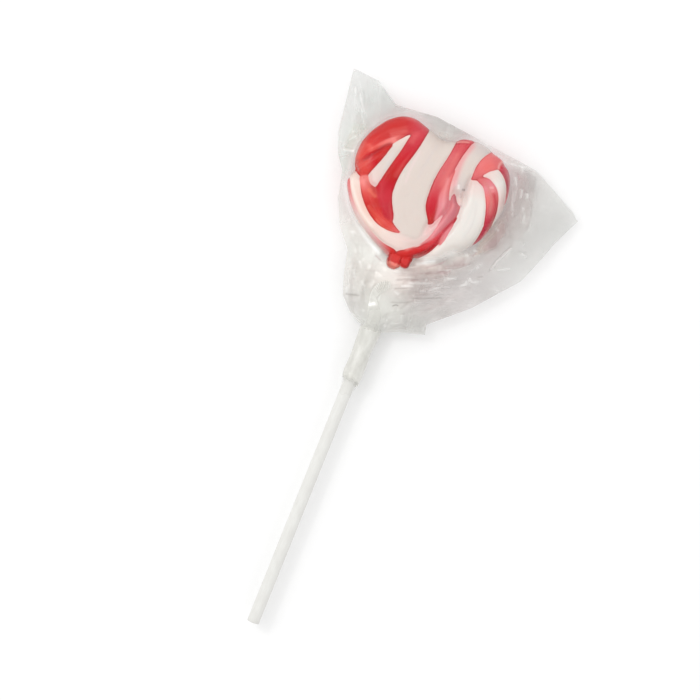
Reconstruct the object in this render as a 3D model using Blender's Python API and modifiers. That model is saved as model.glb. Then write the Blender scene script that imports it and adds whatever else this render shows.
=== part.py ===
"""Swirl heart lollipop, lying on its back in a clear film bag that is taped round the stick.

The stick points to -Y and the heart to +Y, with +Z up and the bag's flat underside at z = 0.
Sizes are in millimetres, measured from the middle of the heart, on the stick's axis. The meshes
are in metres, under an empty that puts the middle of the whole lollipop's length and width at the
origin.
"""

import math

import bmesh
import bpy
import numpy as np

METRES = 0.001
MERGE_DISTANCE = 0.000001
SHARP_ANGLE = 50.0
ROUND_SEGMENTS = 24

# Where the middle of the heart stands in the lollipop's own frame
HEART_X = -6.4
HEART_Y = 59.8

# Stick
STICK_DIAMETER = 4.0
STICK_LENGTH = 150.0
STICK_FOOT_Y = -148.0
STICK_CHAMFER = 0.25
CHAMFER_SEGMENTS = 2
CHAMFER_ANGLE = 60.0

# Heart
HEART_BACK = 5.4
HEART_FRONT = 5.4
HEART_CROWN = 0.8
HEART_ROUNDING = 6.4
HEART_SEGMENTS = 240
HEART_RINGS = 112
HEART_FACES_KEPT = 0.125
STRIPE_GROOVE = 0.35
STRIPE_GROOVE_HALF_WIDTH = 0.6
ROPE_CREASE = 1.4
ROPE_CREASE_HALF_WIDTH = 1.2
CURVE_STEPS = 6
EDGE_STEPS = 8
BACK_RELIEF = 0.6
PINCH_PLACE = (10.9, 2.6)
PINCH_DEPTH = 1.7
PINCH_WIDTH = 1.9

# Room between neighbours, and the least skin of the bag over the heart and the stick
CLEARANCE = 0.3
HEART_ROOM_SLACK = 0.1
KNOB_ROOM_SLACK = 0.3
ROOM_SEGMENTS = 48
ROOM_RINGS = 20
SOCKET_START_Y = -40.0
NECK_BORE_START_Y = -60.0
NECK_BORE_END_Y = 5.0
BAG_COVER = 1.0

# The heart's and the stick's mid-plane lies this high, so that the covered back rests on the ground
MID_Z = HEART_BACK + BAG_COVER

# Edge of the heart seen from above, anticlockwise from the notch
HEART_EDGE = (
    (-1.2, 17.6), (-6.3, 19.4), (-10.3, 20.6), (-14.6, 20.5), (-19.0, 18.0), (-22.5, 13.5),
    (-24.7, 8.6), (-25.2, 3.4), (-24.3, -1.9), (-24.6, -6.0), (-22.4, -10.2), (-19.7, -13.5),
    (-16.3, -16.8), (-12.0, -19.7), (-7.8, -21.9), (-3.4, -23.4), (0.8, -23.2), (4.4, -21.5),
    (8.4, -19.9), (12.4, -17.5), (16.6, -13.9), (20.0, -10.5), (22.4, -6.2), (24.2, -0.6),
    (25.1, 5.0), (24.8, 10.2), (23.0, 15.0), (20.0, 18.0), (16.4, 19.7), (12.6, 20.9),
    (8.6, 21.3), (5.0, 20.4), (2.2, 18.6),
)

# Stripes of the sugar rope: the run of rope each belongs to, then x, y and width along its middle
STRIPES = {
    "left cap": (
        "upper",
        ((-23.6, 1.3, 2.1), (-21.9, 8.1, 5.1), (-18.0, 13.2, 7.3), (-9.1, 18.3, 3.8)),
    ),
    "left shade": ("upper", ((-16.1, 7.7, 1.1), (-18.9, 4.3, 4.3), (-22.3, -1.7, 5.1))),
    "slim white": (
        "upper",
        ((-11.4, 14.3, 0.3), (-13.3, 9.4, 2.6), (-16.5, -0.4, 4.1), (-16.1, -4.3, 2.1)),
    ),
    "left red": (
        "upper",
        ((-8.2, 17.9, 3.8), (-10.8, 6.4, 4.3), (-12.1, -5.5, 5.5), (-9.1, -11.1, 6.4)),
    ),
    "broad white": (
        "upper",
        ((-1.6, 18.8, 9.0), (-4.5, 1.3, 10.7), (-0.5, -11.1, 9.8), (2.0, -14.1, 6.4)),
    ),
    "middle red": (
        "upper",
        ((5.4, 19.2, 4.7), (2.9, 6.8, 3.2), (2.0, 0.0, 2.4), (4.9, -8.1, 1.3)),
    ),
    "middle rose": (
        "upper",
        ((5.9, 9.4, 0.9), (4.8, 5.1, 3.2), (6.2, -1.0, 4.2), (6.0, -7.0, 0.4)),
    ),
    "top white": (
        "upper",
        ((11.2, 19.2, 6.0), (9.0, 12.0, 5.6), (9.2, 5.5, 4.6), (10.8, 1.3, 2.1)),
    ),
    "wedge": (
        "lower",
        ((-18.9, -4.7, 2.6), (-15.0, -8.5, 5.5), (-10.3, -12.8, 5.5), (-2.7, -14.9, 0.4)),
    ),
    "sweep white": (
        "lower",
        (
            (-23.6, -2.8, 1.5), (-16.3, -13.2, 3.2), (-3.1, -17.9, 4.3), (2.9, -15.4, 4.3),
            (7.5, -5.5, 0.6),
        ),
    ),
    "sweep pink": (
        "lower",
        ((-24.0, -5.5, 1.1), (-16.7, -15.4, 2.1), (-10.8, -19.4, 2.6), (-4.8, -21.8, 1.5)),
    ),
    "salmon": (
        "lower",
        ((9.7, 1.7, 2.1), (10.3, -2.1, 3.6), (6.3, -13.7, 1.4), (1.2, -19.4, 0.9)),
    ),
    "deep red": (
        "lower",
        ((12.4, -4.1, 0.5), (9.3, -11.1, 1.5), (5.9, -18.3, 3.6), (1.4, -21.8, 3.4)),
    ),
    "petal": (
        "right",
        ((12.8, 8.3, 2.1), (16.4, -0.4, 8.5), (14.0, -12.8, 6.8), (4.2, -21.8, 0.6)),
    ),
    "thin pink": ("right", ((11.8, -6.6, 0.6), (10.6, -12.0, 2.0), (10.2, -16.2, 0.4))),
    "crescent": (
        "right",
        ((12.5, 9.4, 1.3), (13.5, 12.8, 3.8), (15.5, 16.4, 5.3), (18.7, 18.3, 2.6)),
    ),
    "high white": (
        "right",
        ((15.6, 11.9, 0.9), (22.0, 10.2, 3.6), (24.4, 0.9, 1.5), (22.7, -6.4, 0.6)),
    ),
    "rose band": (
        "right",
        ((14.4, 10.2, 1.1), (20.2, 6.8, 3.4), (22.5, -2.5, 2.7), (20.8, -9.6, 0.6)),
    ),
    "rim red": (
        "right",
        ((19.1, 17.7, 1.3), (21.4, 15.6, 2.5), (24.7, 8.5, 0.9), (25.2, 3.8, 0.4)),
    ),
}

# Line along which the upper and the lower run melt into each other, with no crease
MELT_LINE = ((-12.0, -7.5), (-8.5, -12.5), (-2.5, -15.0), (2.0, -13.0))
MELT_WIDTH = 2.8

# Knobs where the rope's ends are pinched round the stick: middle, then half sizes
KNOBS = (
    ((-1.1, -23.1, 0.0), (2.5, 3.7, 3.5)),
    ((2.2, -22.2, 0.3), (1.9, 3.0, 3.1)),
)
KNOB_BLOCKINESS = 0.7
KNOB_SUBDIVISIONS = 3
KNOB_ROOM_SUBDIVISIONS = 2

# Bag: its two side edges from the neck up, as left x, left y, right x, right y, rows to the next
NECK_RADIUS = 3.0
BAG_ROWS = (
    (-3.0, -47.0, 3.0, -47.0, 2),
    (-8.3, -44.2, 8.5, -44.5, 2),
    (-12.3, -40.1, 16.8, -42.2, 2),
    (-14.4, -34.5, 16.0, -39.0, 3),
    (-16.4, -26.0, 27.6, -28.5, 3),
    (-21.6, -19.8, 33.1, -21.8, 3),
    (-25.4, -11.8, 39.0, -14.8, 3),
    (-27.4, -3.1, 42.0, -7.0, 2),
    (-30.6, 1.2, 44.6, 0.4, 2),
    (-33.2, 8.0, 46.6, 5.0, 8),
    (-36.1, 28.3, 48.9, 9.4, 0),
)
BAG_TOP_EDGE = (
    (-36.1, 28.3), (-27.6, 27.9), (-19.2, 23.6), (-5.8, 24.6), (29.4, 20.8), (45.1, 12.9),
    (48.9, 9.4),
)
BAG_COLUMNS = 30
SEAM_HALF_THICKNESS = 0.3
SHOULDER_INSET = 2.5
WING_DROOP = 2.6
WING_START_X = 26.0
WING_REACH = 23.0
WING_CURL = 1.5
CORNER_LIFT = 1.8
CORNER_START = 27.0
CORNER_REACH = 19.0
PLEATS = 6
PLEAT_DEPTH = 0.7
PLEAT_START_X = 4.5
PLEAT_RISE_OFF_HEART = 5.0
PLEAT_RISE_OFF_STICK = 3.0
PLEAT_FADE_AT_EDGE = 3.0

# Tape round the neck and the stick
TAPE_THICKNESS = 0.4
TAPE_HALF_WIDTH = 2.8
TAPE_TOP_Y = -33.0
TAPE_TONGUE_FOOT_Y = -49.5
TAPE_TOOTH = 0.8
TAPE_LIFT = 0.5
TAPE_PROFILE = (
    (-47.3, 3.8), (-50.0, 3.5), (-54.0, 3.1), (-58.0, 3.3), (-62.5, 3.2), (-66.0, 2.8),
    (-71.0, 2.7),
)
TAPE_STEPS = 20
TAPE_MERGE = 0.00001
TAPE_TONGUE_ROWS = 16
TAPE_TONGUE_POINTS = 15
TAPE_TOP_SLOPE = 0.8
TAPE_END_Y = -71.0
TAPE_END_SLOPE = 0.9
TAPE_CUTTER_SIZES = (16.0, 8.0, 16.0)


def smooth_curve(points, steps, closed=False):
    """Points of a curve that passes smoothly through the given ones."""
    given = np.array(points, float)
    if closed:
        padded = np.vstack([given[-1:], given, given[:2]])
    else:
        padded = np.vstack([2 * given[0] - given[1], given, 2 * given[-1] - given[-2]])
    t = np.linspace(0.0, 1.0, steps, endpoint=False)[:, None]
    spans = []
    for before, start, end, after in zip(padded, padded[1:], padded[2:], padded[3:]):
        bend = 2 * before - 5 * start + 4 * end - after
        twist = -before + 3 * start - 3 * end + after
        spans.append(0.5 * (2 * start + (end - before) * t + bend * t**2 + twist * t**3))
    curve = np.vstack(spans)
    return curve if closed else np.vstack([curve, given[-1:]])


def distance_along(plan, curve):
    """Distance of each plan point from a curve, and the curve's width there where it has one."""
    nearest = np.full(len(plan), np.inf)
    width = np.ones(len(plan))
    for start, end in zip(curve[:-1], curve[1:]):
        run = end[:2] - start[:2]
        share = np.clip((plan - start[:2]) @ run / max(run @ run, 1e-9), 0.0, 1.0)
        distance = np.linalg.norm(plan - start[:2] - share[:, None] * run, axis=1)
        closer = distance < nearest
        nearest[closer] = distance[closer]
        if len(start) > 2:
            width[closer] = (start[2] + share * (end[2] - start[2]))[closer]
    return nearest, width


def edge_radius(angle):
    """Distance of the heart's edge from its middle, in the given directions."""
    edge = smooth_curve(HEART_EDGE, EDGE_STEPS, closed=True)
    around = np.arctan2(edge[:, 1], edge[:, 0])
    order = np.argsort(around)
    radii = np.hypot(edge[order, 0], edge[order, 1])
    return np.interp(angle, around[order], radii, period=math.tau)


def valley(best, half_width):
    """1 where the two nearest of the given stripes are equally near, falling to 0 on either side."""
    nearest, second = np.sort(best, axis=0)[:2]
    return np.exp(-(((second - nearest) / 2 / half_width) ** 2))


def relief_depth(plan):
    """Depth of the grooves between stripes, the creases between runs of rope, and the pinch."""
    outside = []
    for _, points in STRIPES.values():
        distance, width = distance_along(plan, smooth_curve(points, CURVE_STEPS))
        outside.append(distance - width / 2)
    outside = np.array(outside)
    runs = np.array([run for run, _ in STRIPES.values()])
    nearest_of_runs = [outside[runs == run].min(axis=0) for run in sorted(set(runs))]
    groove = STRIPE_GROOVE * valley(outside, STRIPE_GROOVE_HALF_WIDTH)
    crease = ROPE_CREASE * valley(nearest_of_runs, ROPE_CREASE_HALF_WIDTH)
    off_melt, _ = distance_along(plan, smooth_curve(MELT_LINE, CURVE_STEPS))
    crease *= 1 - np.exp(-((off_melt / MELT_WIDTH) ** 2))
    pinch = np.linalg.norm(plan - PINCH_PLACE, axis=1) / PINCH_WIDTH
    return np.maximum(groove, crease) + PINCH_DEPTH * np.exp(-(pinch**2))


def heart_half_height(plan, face_height, grown):
    """Height of the plain heart over its mid-plane, grown all round by a skin, and 0 outside it."""
    inset = grown - beyond_heart(plan)
    rounding = HEART_ROUNDING + grown
    share = np.clip(1 - inset / rounding, 0.0, 1.0)
    height = (face_height + grown) * np.sqrt(1 - share**2)
    return np.where(inset > 0, height, 0.0)


def heart_skin(bm, segments, rings, grown=0.0, relief=True):
    """Shapes a new sphere into the heart: a rope's round edge, a crowned front and a flat back."""
    made = bmesh.ops.create_uvsphere(bm, u_segments=segments, v_segments=rings, radius=1.0)
    unit = np.array([vert.co for vert in made["verts"]])
    angle = np.arctan2(unit[:, 1], unit[:, 0])
    level = np.arcsin(np.clip(np.abs(unit[:, 2]), 0.0, 1.0)) / (math.pi / 2)
    radius = edge_radius(angle)
    quarter = HEART_ROUNDING * math.pi / 2
    arc = level * (quarter + radius - HEART_ROUNDING)
    turn = np.minimum(arc / HEART_ROUNDING, math.pi / 2)
    inset = HEART_ROUNDING * (1 - np.cos(turn)) + np.maximum(arc - quarter, 0.0)
    front = unit[:, 2] > 0
    reach = radius - inset
    crown = np.where(front, HEART_CROWN * (1 - (reach / radius) ** 2), 0.0)
    rise = np.where(front, HEART_FRONT, HEART_BACK) * np.sin(turn) + crown * np.sin(turn)
    outward = np.column_stack([np.cos(angle), np.sin(angle)])
    plan = outward * reach[:, None]
    push = np.full(len(unit), float(grown))
    if relief:
        push -= relief_depth(plan) * np.where(front, 1.0, BACK_RELIEF)
    side = np.where(front, 1.0, -1.0)
    plan += outward * (push * np.cos(turn))[:, None]
    height = MID_Z + side * (rise + push * np.sin(turn))
    for vert, (x, y), z in zip(made["verts"], plan, height):
        vert.co = (x * METRES, y * METRES, z * METRES)


def new_object(name, bm, collection, material=None):
    """An object from a bmesh, in a collection, smooth where it is round."""
    mesh = bpy.data.meshes.new(name)
    bmesh.ops.recalc_face_normals(bm, faces=bm.faces)
    bm.to_mesh(mesh)
    bm.free()
    mesh.shade_smooth()
    mesh.set_sharp_from_angle(angle=math.radians(SHARP_ANGLE))
    obj = bpy.data.objects.new(name, mesh)
    collection.objects.link(obj)
    if material:
        mesh.materials.append(material)
    return obj


def as_cutter(obj):
    """Marks an object as a helper that isn't rendered."""
    obj.hide_render = True
    obj.display_type = "WIRE"
    return obj


def boolean(obj, operation, other, solver="EXACT"):
    """Adds a Boolean with another object."""
    modifier = obj.modifiers.new(f"{operation.lower()} {other.name}", "BOOLEAN")
    modifier.operation = operation
    modifier.object = other
    modifier.solver = solver


def bake(obj):
    """Replaces the object's mesh by what its modifiers make of it."""
    bpy.context.view_layer.update()
    evaluated = obj.evaluated_get(bpy.context.evaluated_depsgraph_get())
    mesh = bpy.data.meshes.new_from_object(evaluated)
    bm = bmesh.new()
    bm.from_mesh(mesh)
    bmesh.ops.remove_doubles(bm, verts=bm.verts, dist=MERGE_DISTANCE)
    bmesh.ops.recalc_face_normals(bm, faces=bm.faces)
    bm.to_mesh(mesh)
    bm.free()
    obj.modifiers.clear()
    old, obj.data = obj.data, mesh
    bpy.data.meshes.remove(old)


def material(name, colour, roughness, alpha=1.0):
    """A Principled material with the sub-part's own colour."""
    made = bpy.data.materials.new(name)
    made.use_nodes = True
    shader = made.node_tree.nodes["Principled BSDF"]
    shader.inputs["Base Color"].default_value = (*colour, 1.0)
    shader.inputs["Roughness"].default_value = roughness
    shader.inputs["Metallic"].default_value = 0.0
    shader.inputs["Alpha"].default_value = alpha
    made.diffuse_color = (*colour, alpha)
    return made


def loft(bm, sections):
    """Skins sections of equal count, each a front row of points and a back row under it."""
    rows = []
    for section in sections:
        sides = [[[METRES * value for value in point] for point in side] for side in section]
        rows.append([[bm.verts.new(point) for point in side] for side in sides])
    columns = len(rows[0][0]) - 1
    for (front, back), (next_front, next_back) in zip(rows, rows[1:]):
        for i in range(columns):
            bm.faces.new((front[i], front[i + 1], next_front[i + 1], next_front[i]))
            bm.faces.new((back[i], next_back[i], next_back[i + 1], back[i + 1]))
        for i in (0, columns):
            bm.faces.new((front[i], next_front[i], next_back[i], back[i]))
    for front, back in (rows[0], rows[-1]):
        for i in range(columns):
            bm.faces.new((front[i], front[i + 1], back[i + 1], back[i]))


def crowded_shares(count):
    """Shares from 0 to 1 that crowd towards both ends."""
    even = np.linspace(0.0, 1.0, count + 1)
    return (even + (1 - np.cos(math.pi * even)) / 2) / 2


def bag_plan():
    """Plan points of the bag's rows, from the neck to the top edge."""
    share = crowded_shares(BAG_COLUMNS)
    top = np.array(BAG_TOP_EDGE)
    run = np.concatenate([[0.0], np.cumsum(np.linalg.norm(np.diff(top, axis=0), axis=1))])
    run /= run[-1]
    top_points = np.column_stack([np.interp(share, run, top[:, axis]) for axis in (0, 1)])
    straight = top[0] + share[:, None] * (top[-1] - top[0])
    rows = []
    for number, (here, following) in enumerate(zip(BAG_ROWS, BAG_ROWS[1:])):
        left, right = np.array(here[:2]), np.array(here[2:4])
        next_left, next_right = np.array(following[:2]), np.array(following[2:4])
        topmost = number == len(BAG_ROWS) - 2
        count = here[4]
        for step in range(count):
            t = math.sin(step / count * math.pi / 2) if topmost else step / count
            start = left + t * (next_left - left)
            end = right + t * (next_right - right)
            row = start + share[:, None] * (end - start)
            rows.append(row + (t**2 if topmost else 0.0) * (top_points - straight))
    rows.append(top_points)
    return share, rows


def bag_outline():
    """The bag's closed edge in plan."""
    left = [(row[0], row[1]) for row in BAG_ROWS]
    right = [(row[2], row[3]) for row in reversed(BAG_ROWS)]
    return np.array([*left, *BAG_TOP_EDGE[1:-1], *right, left[0]])


def beyond_heart(plan):
    """How far each plan point lies outside the heart's edge, measured from the heart's middle."""
    radius = np.hypot(plan[:, 0], plan[:, 1])
    return radius - edge_radius(np.arctan2(plan[:, 1], plan[:, 0]))


def bag_half_height(plan, face_height):
    """Height of a sheet of the bag over its seam: on the heart, on the stick, or stretched between."""
    to_edge, _ = distance_along(plan, bag_outline())
    off_heart = np.maximum(beyond_heart(plan) + SHOULDER_INSET, 0.0)
    off_stick = np.maximum(np.abs(plan[:, 0]) - STICK_DIAMETER / 4, 0.0)
    over_heart = face_height + BAG_COVER - SEAM_HALF_THICKNESS
    over_stick = NECK_RADIUS - SEAM_HALF_THICKNESS
    tent = np.maximum(
        over_heart * to_edge / np.maximum(to_edge + off_heart, 1e-6),
        over_stick * to_edge / np.maximum(to_edge + off_stick, 1e-6),
    )
    on_stick = np.sqrt(np.maximum(NECK_RADIUS**2 - plan[:, 0] ** 2, 0.0)) * (plan[:, 1] < 0)
    on_heart = heart_half_height(plan, face_height, BAG_COVER)
    return np.maximum.reduce([SEAM_HALF_THICKNESS + tent, on_stick, on_heart])


def bag_bend(plan):
    """How far the free film droops on the right and lifts at the top left corner."""
    x, y = plan.T
    wing = np.clip((x - WING_START_X) / WING_REACH, 0.0, 1.0)
    corner = np.clip((np.hypot(x, y) - CORNER_START) / CORNER_REACH, 0.0, 1.0)
    corner = np.where((x < 0) & (y > 0), corner, 0.0)
    return CORNER_LIFT * corner**2 - WING_DROOP * wing**WING_CURL


def bag_pleats(plan, share):
    """Height of the pleats that run up from the neck, where the film lies free."""
    to_edge, _ = distance_along(plan, bag_outline())
    free = np.clip(beyond_heart(plan) / PLEAT_RISE_OFF_HEART, 0.0, 1.0)
    free *= np.clip((np.abs(plan[:, 0]) - PLEAT_START_X) / PLEAT_RISE_OFF_STICK, 0.0, 1.0)
    free *= np.clip(to_edge / PLEAT_FADE_AT_EDGE, 0.0, 1.0)
    return PLEAT_DEPTH * free * np.sin(math.tau * PLEATS * share)


def bag_sheets(plan, share):
    """Heights of the bag's upper and lower sheets."""
    middle = MID_Z + bag_bend(plan)
    pleats = bag_pleats(plan, share)
    upper = middle + bag_half_height(plan, HEART_FRONT + HEART_CROWN) + pleats
    lower = np.maximum(middle - bag_half_height(plan, HEART_BACK) + pleats, 0.0)
    return upper, lower


def rod(bm, radius, length):
    """A closed round rod along z, about the origin."""
    bmesh.ops.create_cone(
        bm,
        cap_ends=True,
        segments=ROUND_SEGMENTS,
        radius1=radius * METRES,
        radius2=radius * METRES,
        depth=length * METRES,
    )


def lay_along_y(obj, middle_y):
    """Lays an object's z axis along the stick, with its origin at a place along it."""
    obj.rotation_euler = (-math.pi / 2, 0.0, 0.0)
    obj.location = (0.0, middle_y * METRES, MID_Z * METRES)


def make_stick(collection):
    """A round stick with chamfered ends, let into the heart."""
    bm = bmesh.new()
    rod(bm, STICK_DIAMETER / 2, STICK_LENGTH)
    white = material("white stick", (0.86, 0.85, 0.83), 0.55)
    stick = new_object("stick", bm, collection, white)
    lay_along_y(stick, STICK_FOOT_Y + STICK_LENGTH / 2)
    bevel = stick.modifiers.new("chamfered ends", "BEVEL")
    bevel.width = STICK_CHAMFER * METRES
    bevel.segments = CHAMFER_SEGMENTS
    bevel.limit_method = "ANGLE"
    bevel.angle_limit = math.radians(CHAMFER_ANGLE)


def stick_bore(name, bottom_y, top_y, cutters):
    """A cutter that leaves clearance round the stick between two places along it."""
    bm = bmesh.new()
    rod(bm, STICK_DIAMETER / 2 + CLEARANCE, top_y - bottom_y)
    bore = as_cutter(new_object(name, bm, cutters))
    lay_along_y(bore, (bottom_y + top_y) / 2)
    return bore


def knob(name, middle, half_sizes, blockiness, subdivisions, cutters):
    """A rounded block, squarer as its blockiness falls below 1."""
    bm = bmesh.new()
    bmesh.ops.create_icosphere(bm, subdivisions=subdivisions, radius=1.0)
    for vert in bm.verts:
        blocky = [math.copysign(abs(unit) ** blockiness, unit) for unit in vert.co]
        x, y, z = (centre + half * unit for centre, half, unit in zip(middle, half_sizes, blocky))
        vert.co = (x * METRES, y * METRES, (z + MID_Z) * METRES)
    return as_cutter(new_object(name, bm, cutters))


def make_heart(collection, cutters):
    """The candy: the pressed rope with its stripes, the knobs at its tip and the stick's socket."""
    bm = bmesh.new()
    heart_skin(bm, HEART_SEGMENTS, HEART_RINGS)
    red = material("striped sugar", (0.78, 0.12, 0.12), 0.2)
    heart = new_object("candy_heart", bm, collection, red)
    fewer = heart.modifiers.new("fewer faces", "DECIMATE")
    fewer.ratio = HEART_FACES_KEPT
    bake(heart)
    for number, (middle, half_sizes) in enumerate(KNOBS, start=1):
        name = f"knob_{number}"
        lump = knob(name, middle, half_sizes, KNOB_BLOCKINESS, KNOB_SUBDIVISIONS, cutters)
        boolean(heart, "UNION", lump)
    socket_end_y = STICK_FOOT_Y + STICK_LENGTH + CLEARANCE
    socket = stick_bore("stick_socket", SOCKET_START_Y, socket_end_y, cutters)
    boolean(heart, "DIFFERENCE", socket)


def make_bag(collection, cutters):
    """The film bag as one solid out to its uneven outline, with room for heart and stick."""
    share, plan_rows = bag_plan()
    sections = []
    for plan in plan_rows:
        upper, lower = bag_sheets(plan, share)
        sections.append([np.column_stack([plan, upper]), np.column_stack([plan, lower])])
    bm = bmesh.new()
    loft(bm, sections)
    clear = material("clear film", (0.9, 0.9, 0.9), 0.15, alpha=0.35)
    bag = new_object("film_bag", bm, collection, clear)
    for number, (middle, half_sizes) in enumerate(KNOBS, start=1):
        name = f"knob_room_{number}"
        roomy = [half + CLEARANCE + KNOB_ROOM_SLACK for half in half_sizes]
        room = knob(name, middle, roomy, KNOB_BLOCKINESS, KNOB_ROOM_SUBDIVISIONS, cutters)
        boolean(bag, "DIFFERENCE", room)
    bm = bmesh.new()
    grown = CLEARANCE + HEART_ROOM_SLACK
    heart_skin(bm, ROOM_SEGMENTS, ROOM_RINGS, grown=grown, relief=False)
    boolean(bag, "DIFFERENCE", as_cutter(new_object("heart_room", bm, cutters)))
    bore = stick_bore("neck_bore", NECK_BORE_START_Y, NECK_BORE_END_Y, cutters)
    boolean(bag, "DIFFERENCE", bore)


def tape_tongue(cutters):
    """The flat end of the tape, which lies over the bag's neck and ends in teeth."""
    across = np.linspace(-TAPE_HALF_WIDTH, TAPE_HALF_WIDTH, TAPE_TONGUE_POINTS)
    in_middle = np.full(len(across), 0.5)
    sections = []
    for row in np.linspace(0.0, 1.0, TAPE_TONGUE_ROWS):
        y = TAPE_TONGUE_FOOT_Y + row * (TAPE_TOP_Y - TAPE_TONGUE_FOOT_Y)
        teeth = TAPE_TOOTH * (np.arange(len(across)) % 2) * (row == 1.0)
        plan = np.column_stack([across, y + teeth + TAPE_TOP_SLOPE * row * across])
        upper, _ = bag_sheets(plan, in_middle)
        under = np.column_stack([plan, upper + TAPE_LIFT])
        sections.append([under + (0.0, 0.0, TAPE_THICKNESS), under])
    bm = bmesh.new()
    loft(bm, sections)
    return as_cutter(new_object("tape_tongue", bm, cutters))


def tape_end(cutters):
    """A cutter that leaves the lower end of the tape slanted."""
    bm = bmesh.new()
    bmesh.ops.create_cube(bm, size=1.0)
    for vert in bm.verts:
        x, y, z = (unit * size for unit, size in zip(vert.co, TAPE_CUTTER_SIZES))
        y += TAPE_END_Y + TAPE_END_SLOPE * x
        vert.co = (x * METRES, y * METRES, (z + MID_Z) * METRES)
    return as_cutter(new_object("tape_end", bm, cutters))


def make_tape(collection, cutters):
    """Clear tape: a sleeve round the stick, and a toothed tongue up over the bag's neck."""
    inner = STICK_DIAMETER / 2 + CLEARANCE
    outer = [(radius, y) for y, radius in TAPE_PROFILE]
    profile = [*outer, (inner, outer[-1][1]), (inner, outer[0][1])]
    bm = bmesh.new()
    ring = [bm.verts.new((radius * METRES, 0.0, y * METRES)) for radius, y in profile]
    for start, end in zip(ring, ring[1:] + ring[:1]):
        bm.edges.new((start, end))
    clear = material("clear tape", (0.88, 0.88, 0.87), 0.3, alpha=0.6)
    tape = new_object("neck_tape", bm, collection, clear)
    lay_along_y(tape, 0.0)
    turned = tape.modifiers.new("turned", "SCREW")
    turned.steps = TAPE_STEPS
    turned.render_steps = TAPE_STEPS
    turned.use_merge_vertices = True
    turned.merge_threshold = TAPE_MERGE
    bake(tape)
    boolean(tape, "UNION", tape_tongue(cutters), solver="MANIFOLD")
    boolean(tape, "DIFFERENCE", tape_end(cutters), solver="MANIFOLD")


def main():
    """Clears the scene, then makes the pieces in their collection and their cutters in another."""
    for obj in list(bpy.data.objects):
        bpy.data.objects.remove(obj, do_unlink=True)
    collection = bpy.data.collections.new("swirl heart lollipop")
    cutters = bpy.data.collections.new("cutters")
    for made in (collection, cutters):
        bpy.context.scene.collection.children.link(made)
    lollipop = bpy.data.objects.new("lollipop", None)
    lollipop.location = (HEART_X * METRES, HEART_Y * METRES, 0.0)
    collection.objects.link(lollipop)
    make_stick(collection)
    make_heart(collection, cutters)
    make_bag(collection, cutters)
    make_tape(collection, cutters)
    for made in (collection, cutters):
        for obj in made.objects:
            if obj is not lollipop:
                obj.parent = lollipop


main()
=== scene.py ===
"""Swirl heart lollipop in its clear film bag: the looks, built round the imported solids.

The lollipop lies on its back with the heart towards +Y. Sizes below are in millimetres from the
middle of the heart, on the axis of the stick; HEART_X and HEART_Y say where that middle is in the
lollipop's own frame, and MID_Z how high the heart's mid-plane lies.
"""

import logging
import math
from dataclasses import dataclass, field
from enum import Enum
from typing import Union

import bpy
import numpy as np
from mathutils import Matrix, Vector


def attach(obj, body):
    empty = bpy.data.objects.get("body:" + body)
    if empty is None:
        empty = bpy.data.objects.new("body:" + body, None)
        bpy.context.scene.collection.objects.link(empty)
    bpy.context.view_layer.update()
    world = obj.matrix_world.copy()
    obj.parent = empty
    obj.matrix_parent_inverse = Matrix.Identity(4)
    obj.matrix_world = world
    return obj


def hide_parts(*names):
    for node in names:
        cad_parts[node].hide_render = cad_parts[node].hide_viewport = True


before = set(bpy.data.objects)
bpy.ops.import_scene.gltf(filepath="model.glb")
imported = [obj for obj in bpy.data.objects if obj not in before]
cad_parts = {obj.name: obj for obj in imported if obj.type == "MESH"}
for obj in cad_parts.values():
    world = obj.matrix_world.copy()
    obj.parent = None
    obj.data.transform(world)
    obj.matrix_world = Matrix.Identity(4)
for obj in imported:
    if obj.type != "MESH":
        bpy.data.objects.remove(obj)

LOG = logging.getLogger("lollipop")
MM = 0.001
HEART_X = -6.4
HEART_Y = 59.8
MID_Z = 6.4
SEED = 11
EDGE_STEPS = 8
STRIPE_STEPS = 6
CREASE_STEPS = 5
TINY = 1e-6

Pair = tuple[float, float]
Colour = tuple[float, float, float]
Number = Union[float, "Amount"]


def linear(red: float, green: float, blue: float) -> Colour:
    """Turns a colour of 0 to 255, as seen on a screen, into the shader's linear one.

    Args:
        red: Red share, 0 to 255.
        green: Green share, 0 to 255.
        blue: Blue share, 0 to 255.

    Returns:
        The linear colour.
    """
    shares = (value / 255 for value in (red, green, blue))
    return tuple(s / 12.92 if s <= 0.04045 else ((s + 0.055) / 1.055) ** 2.4 for s in shares)


def bump(share: np.ndarray) -> np.ndarray:
    """A soft hill: 1 at 0, falling off on either side."""
    return np.exp(-(share**2))


def ramp(values: np.ndarray, start: float, end: float) -> np.ndarray:
    """Rises smoothly from 0 at the start to 1 at the end."""
    share = np.clip((values - start) / (end - start), 0.0, 1.0)
    return share * share * (3 - 2 * share)


def in_groups(row: tuple[float, ...], size: int) -> tuple[tuple[float, ...], ...]:
    """Cuts a flat row of numbers into groups of one size."""
    return tuple(zip(*[iter(row)] * size))


def triangle_wave(values: np.ndarray) -> np.ndarray:
    """A folded line that runs between -1 and 1 once for each whole number."""
    return 4 * np.abs(values - np.floor(values + 0.5)) - 1


def faded(share: np.ndarray, rise: Pair, fall: Pair) -> np.ndarray:
    """Rises from 0 to 1 over the first range, and falls back to 0 over the second."""
    return ramp(share, *rise) * (1 - ramp(share, *fall))


def oval(plan: np.ndarray, middle: Pair, reach: Union[float, Pair]) -> np.ndarray:
    """Distance from a middle, as a share of the reach along each axis."""
    return np.linalg.norm((plan - np.array(middle)) / reach, axis=1)


def read_off(share: np.ndarray, places: np.ndarray, rows: np.ndarray) -> np.ndarray:
    """Reads every column of a table whose rows stand at the given places."""
    return np.column_stack([np.interp(share, places, column) for column in rows.T])


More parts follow.
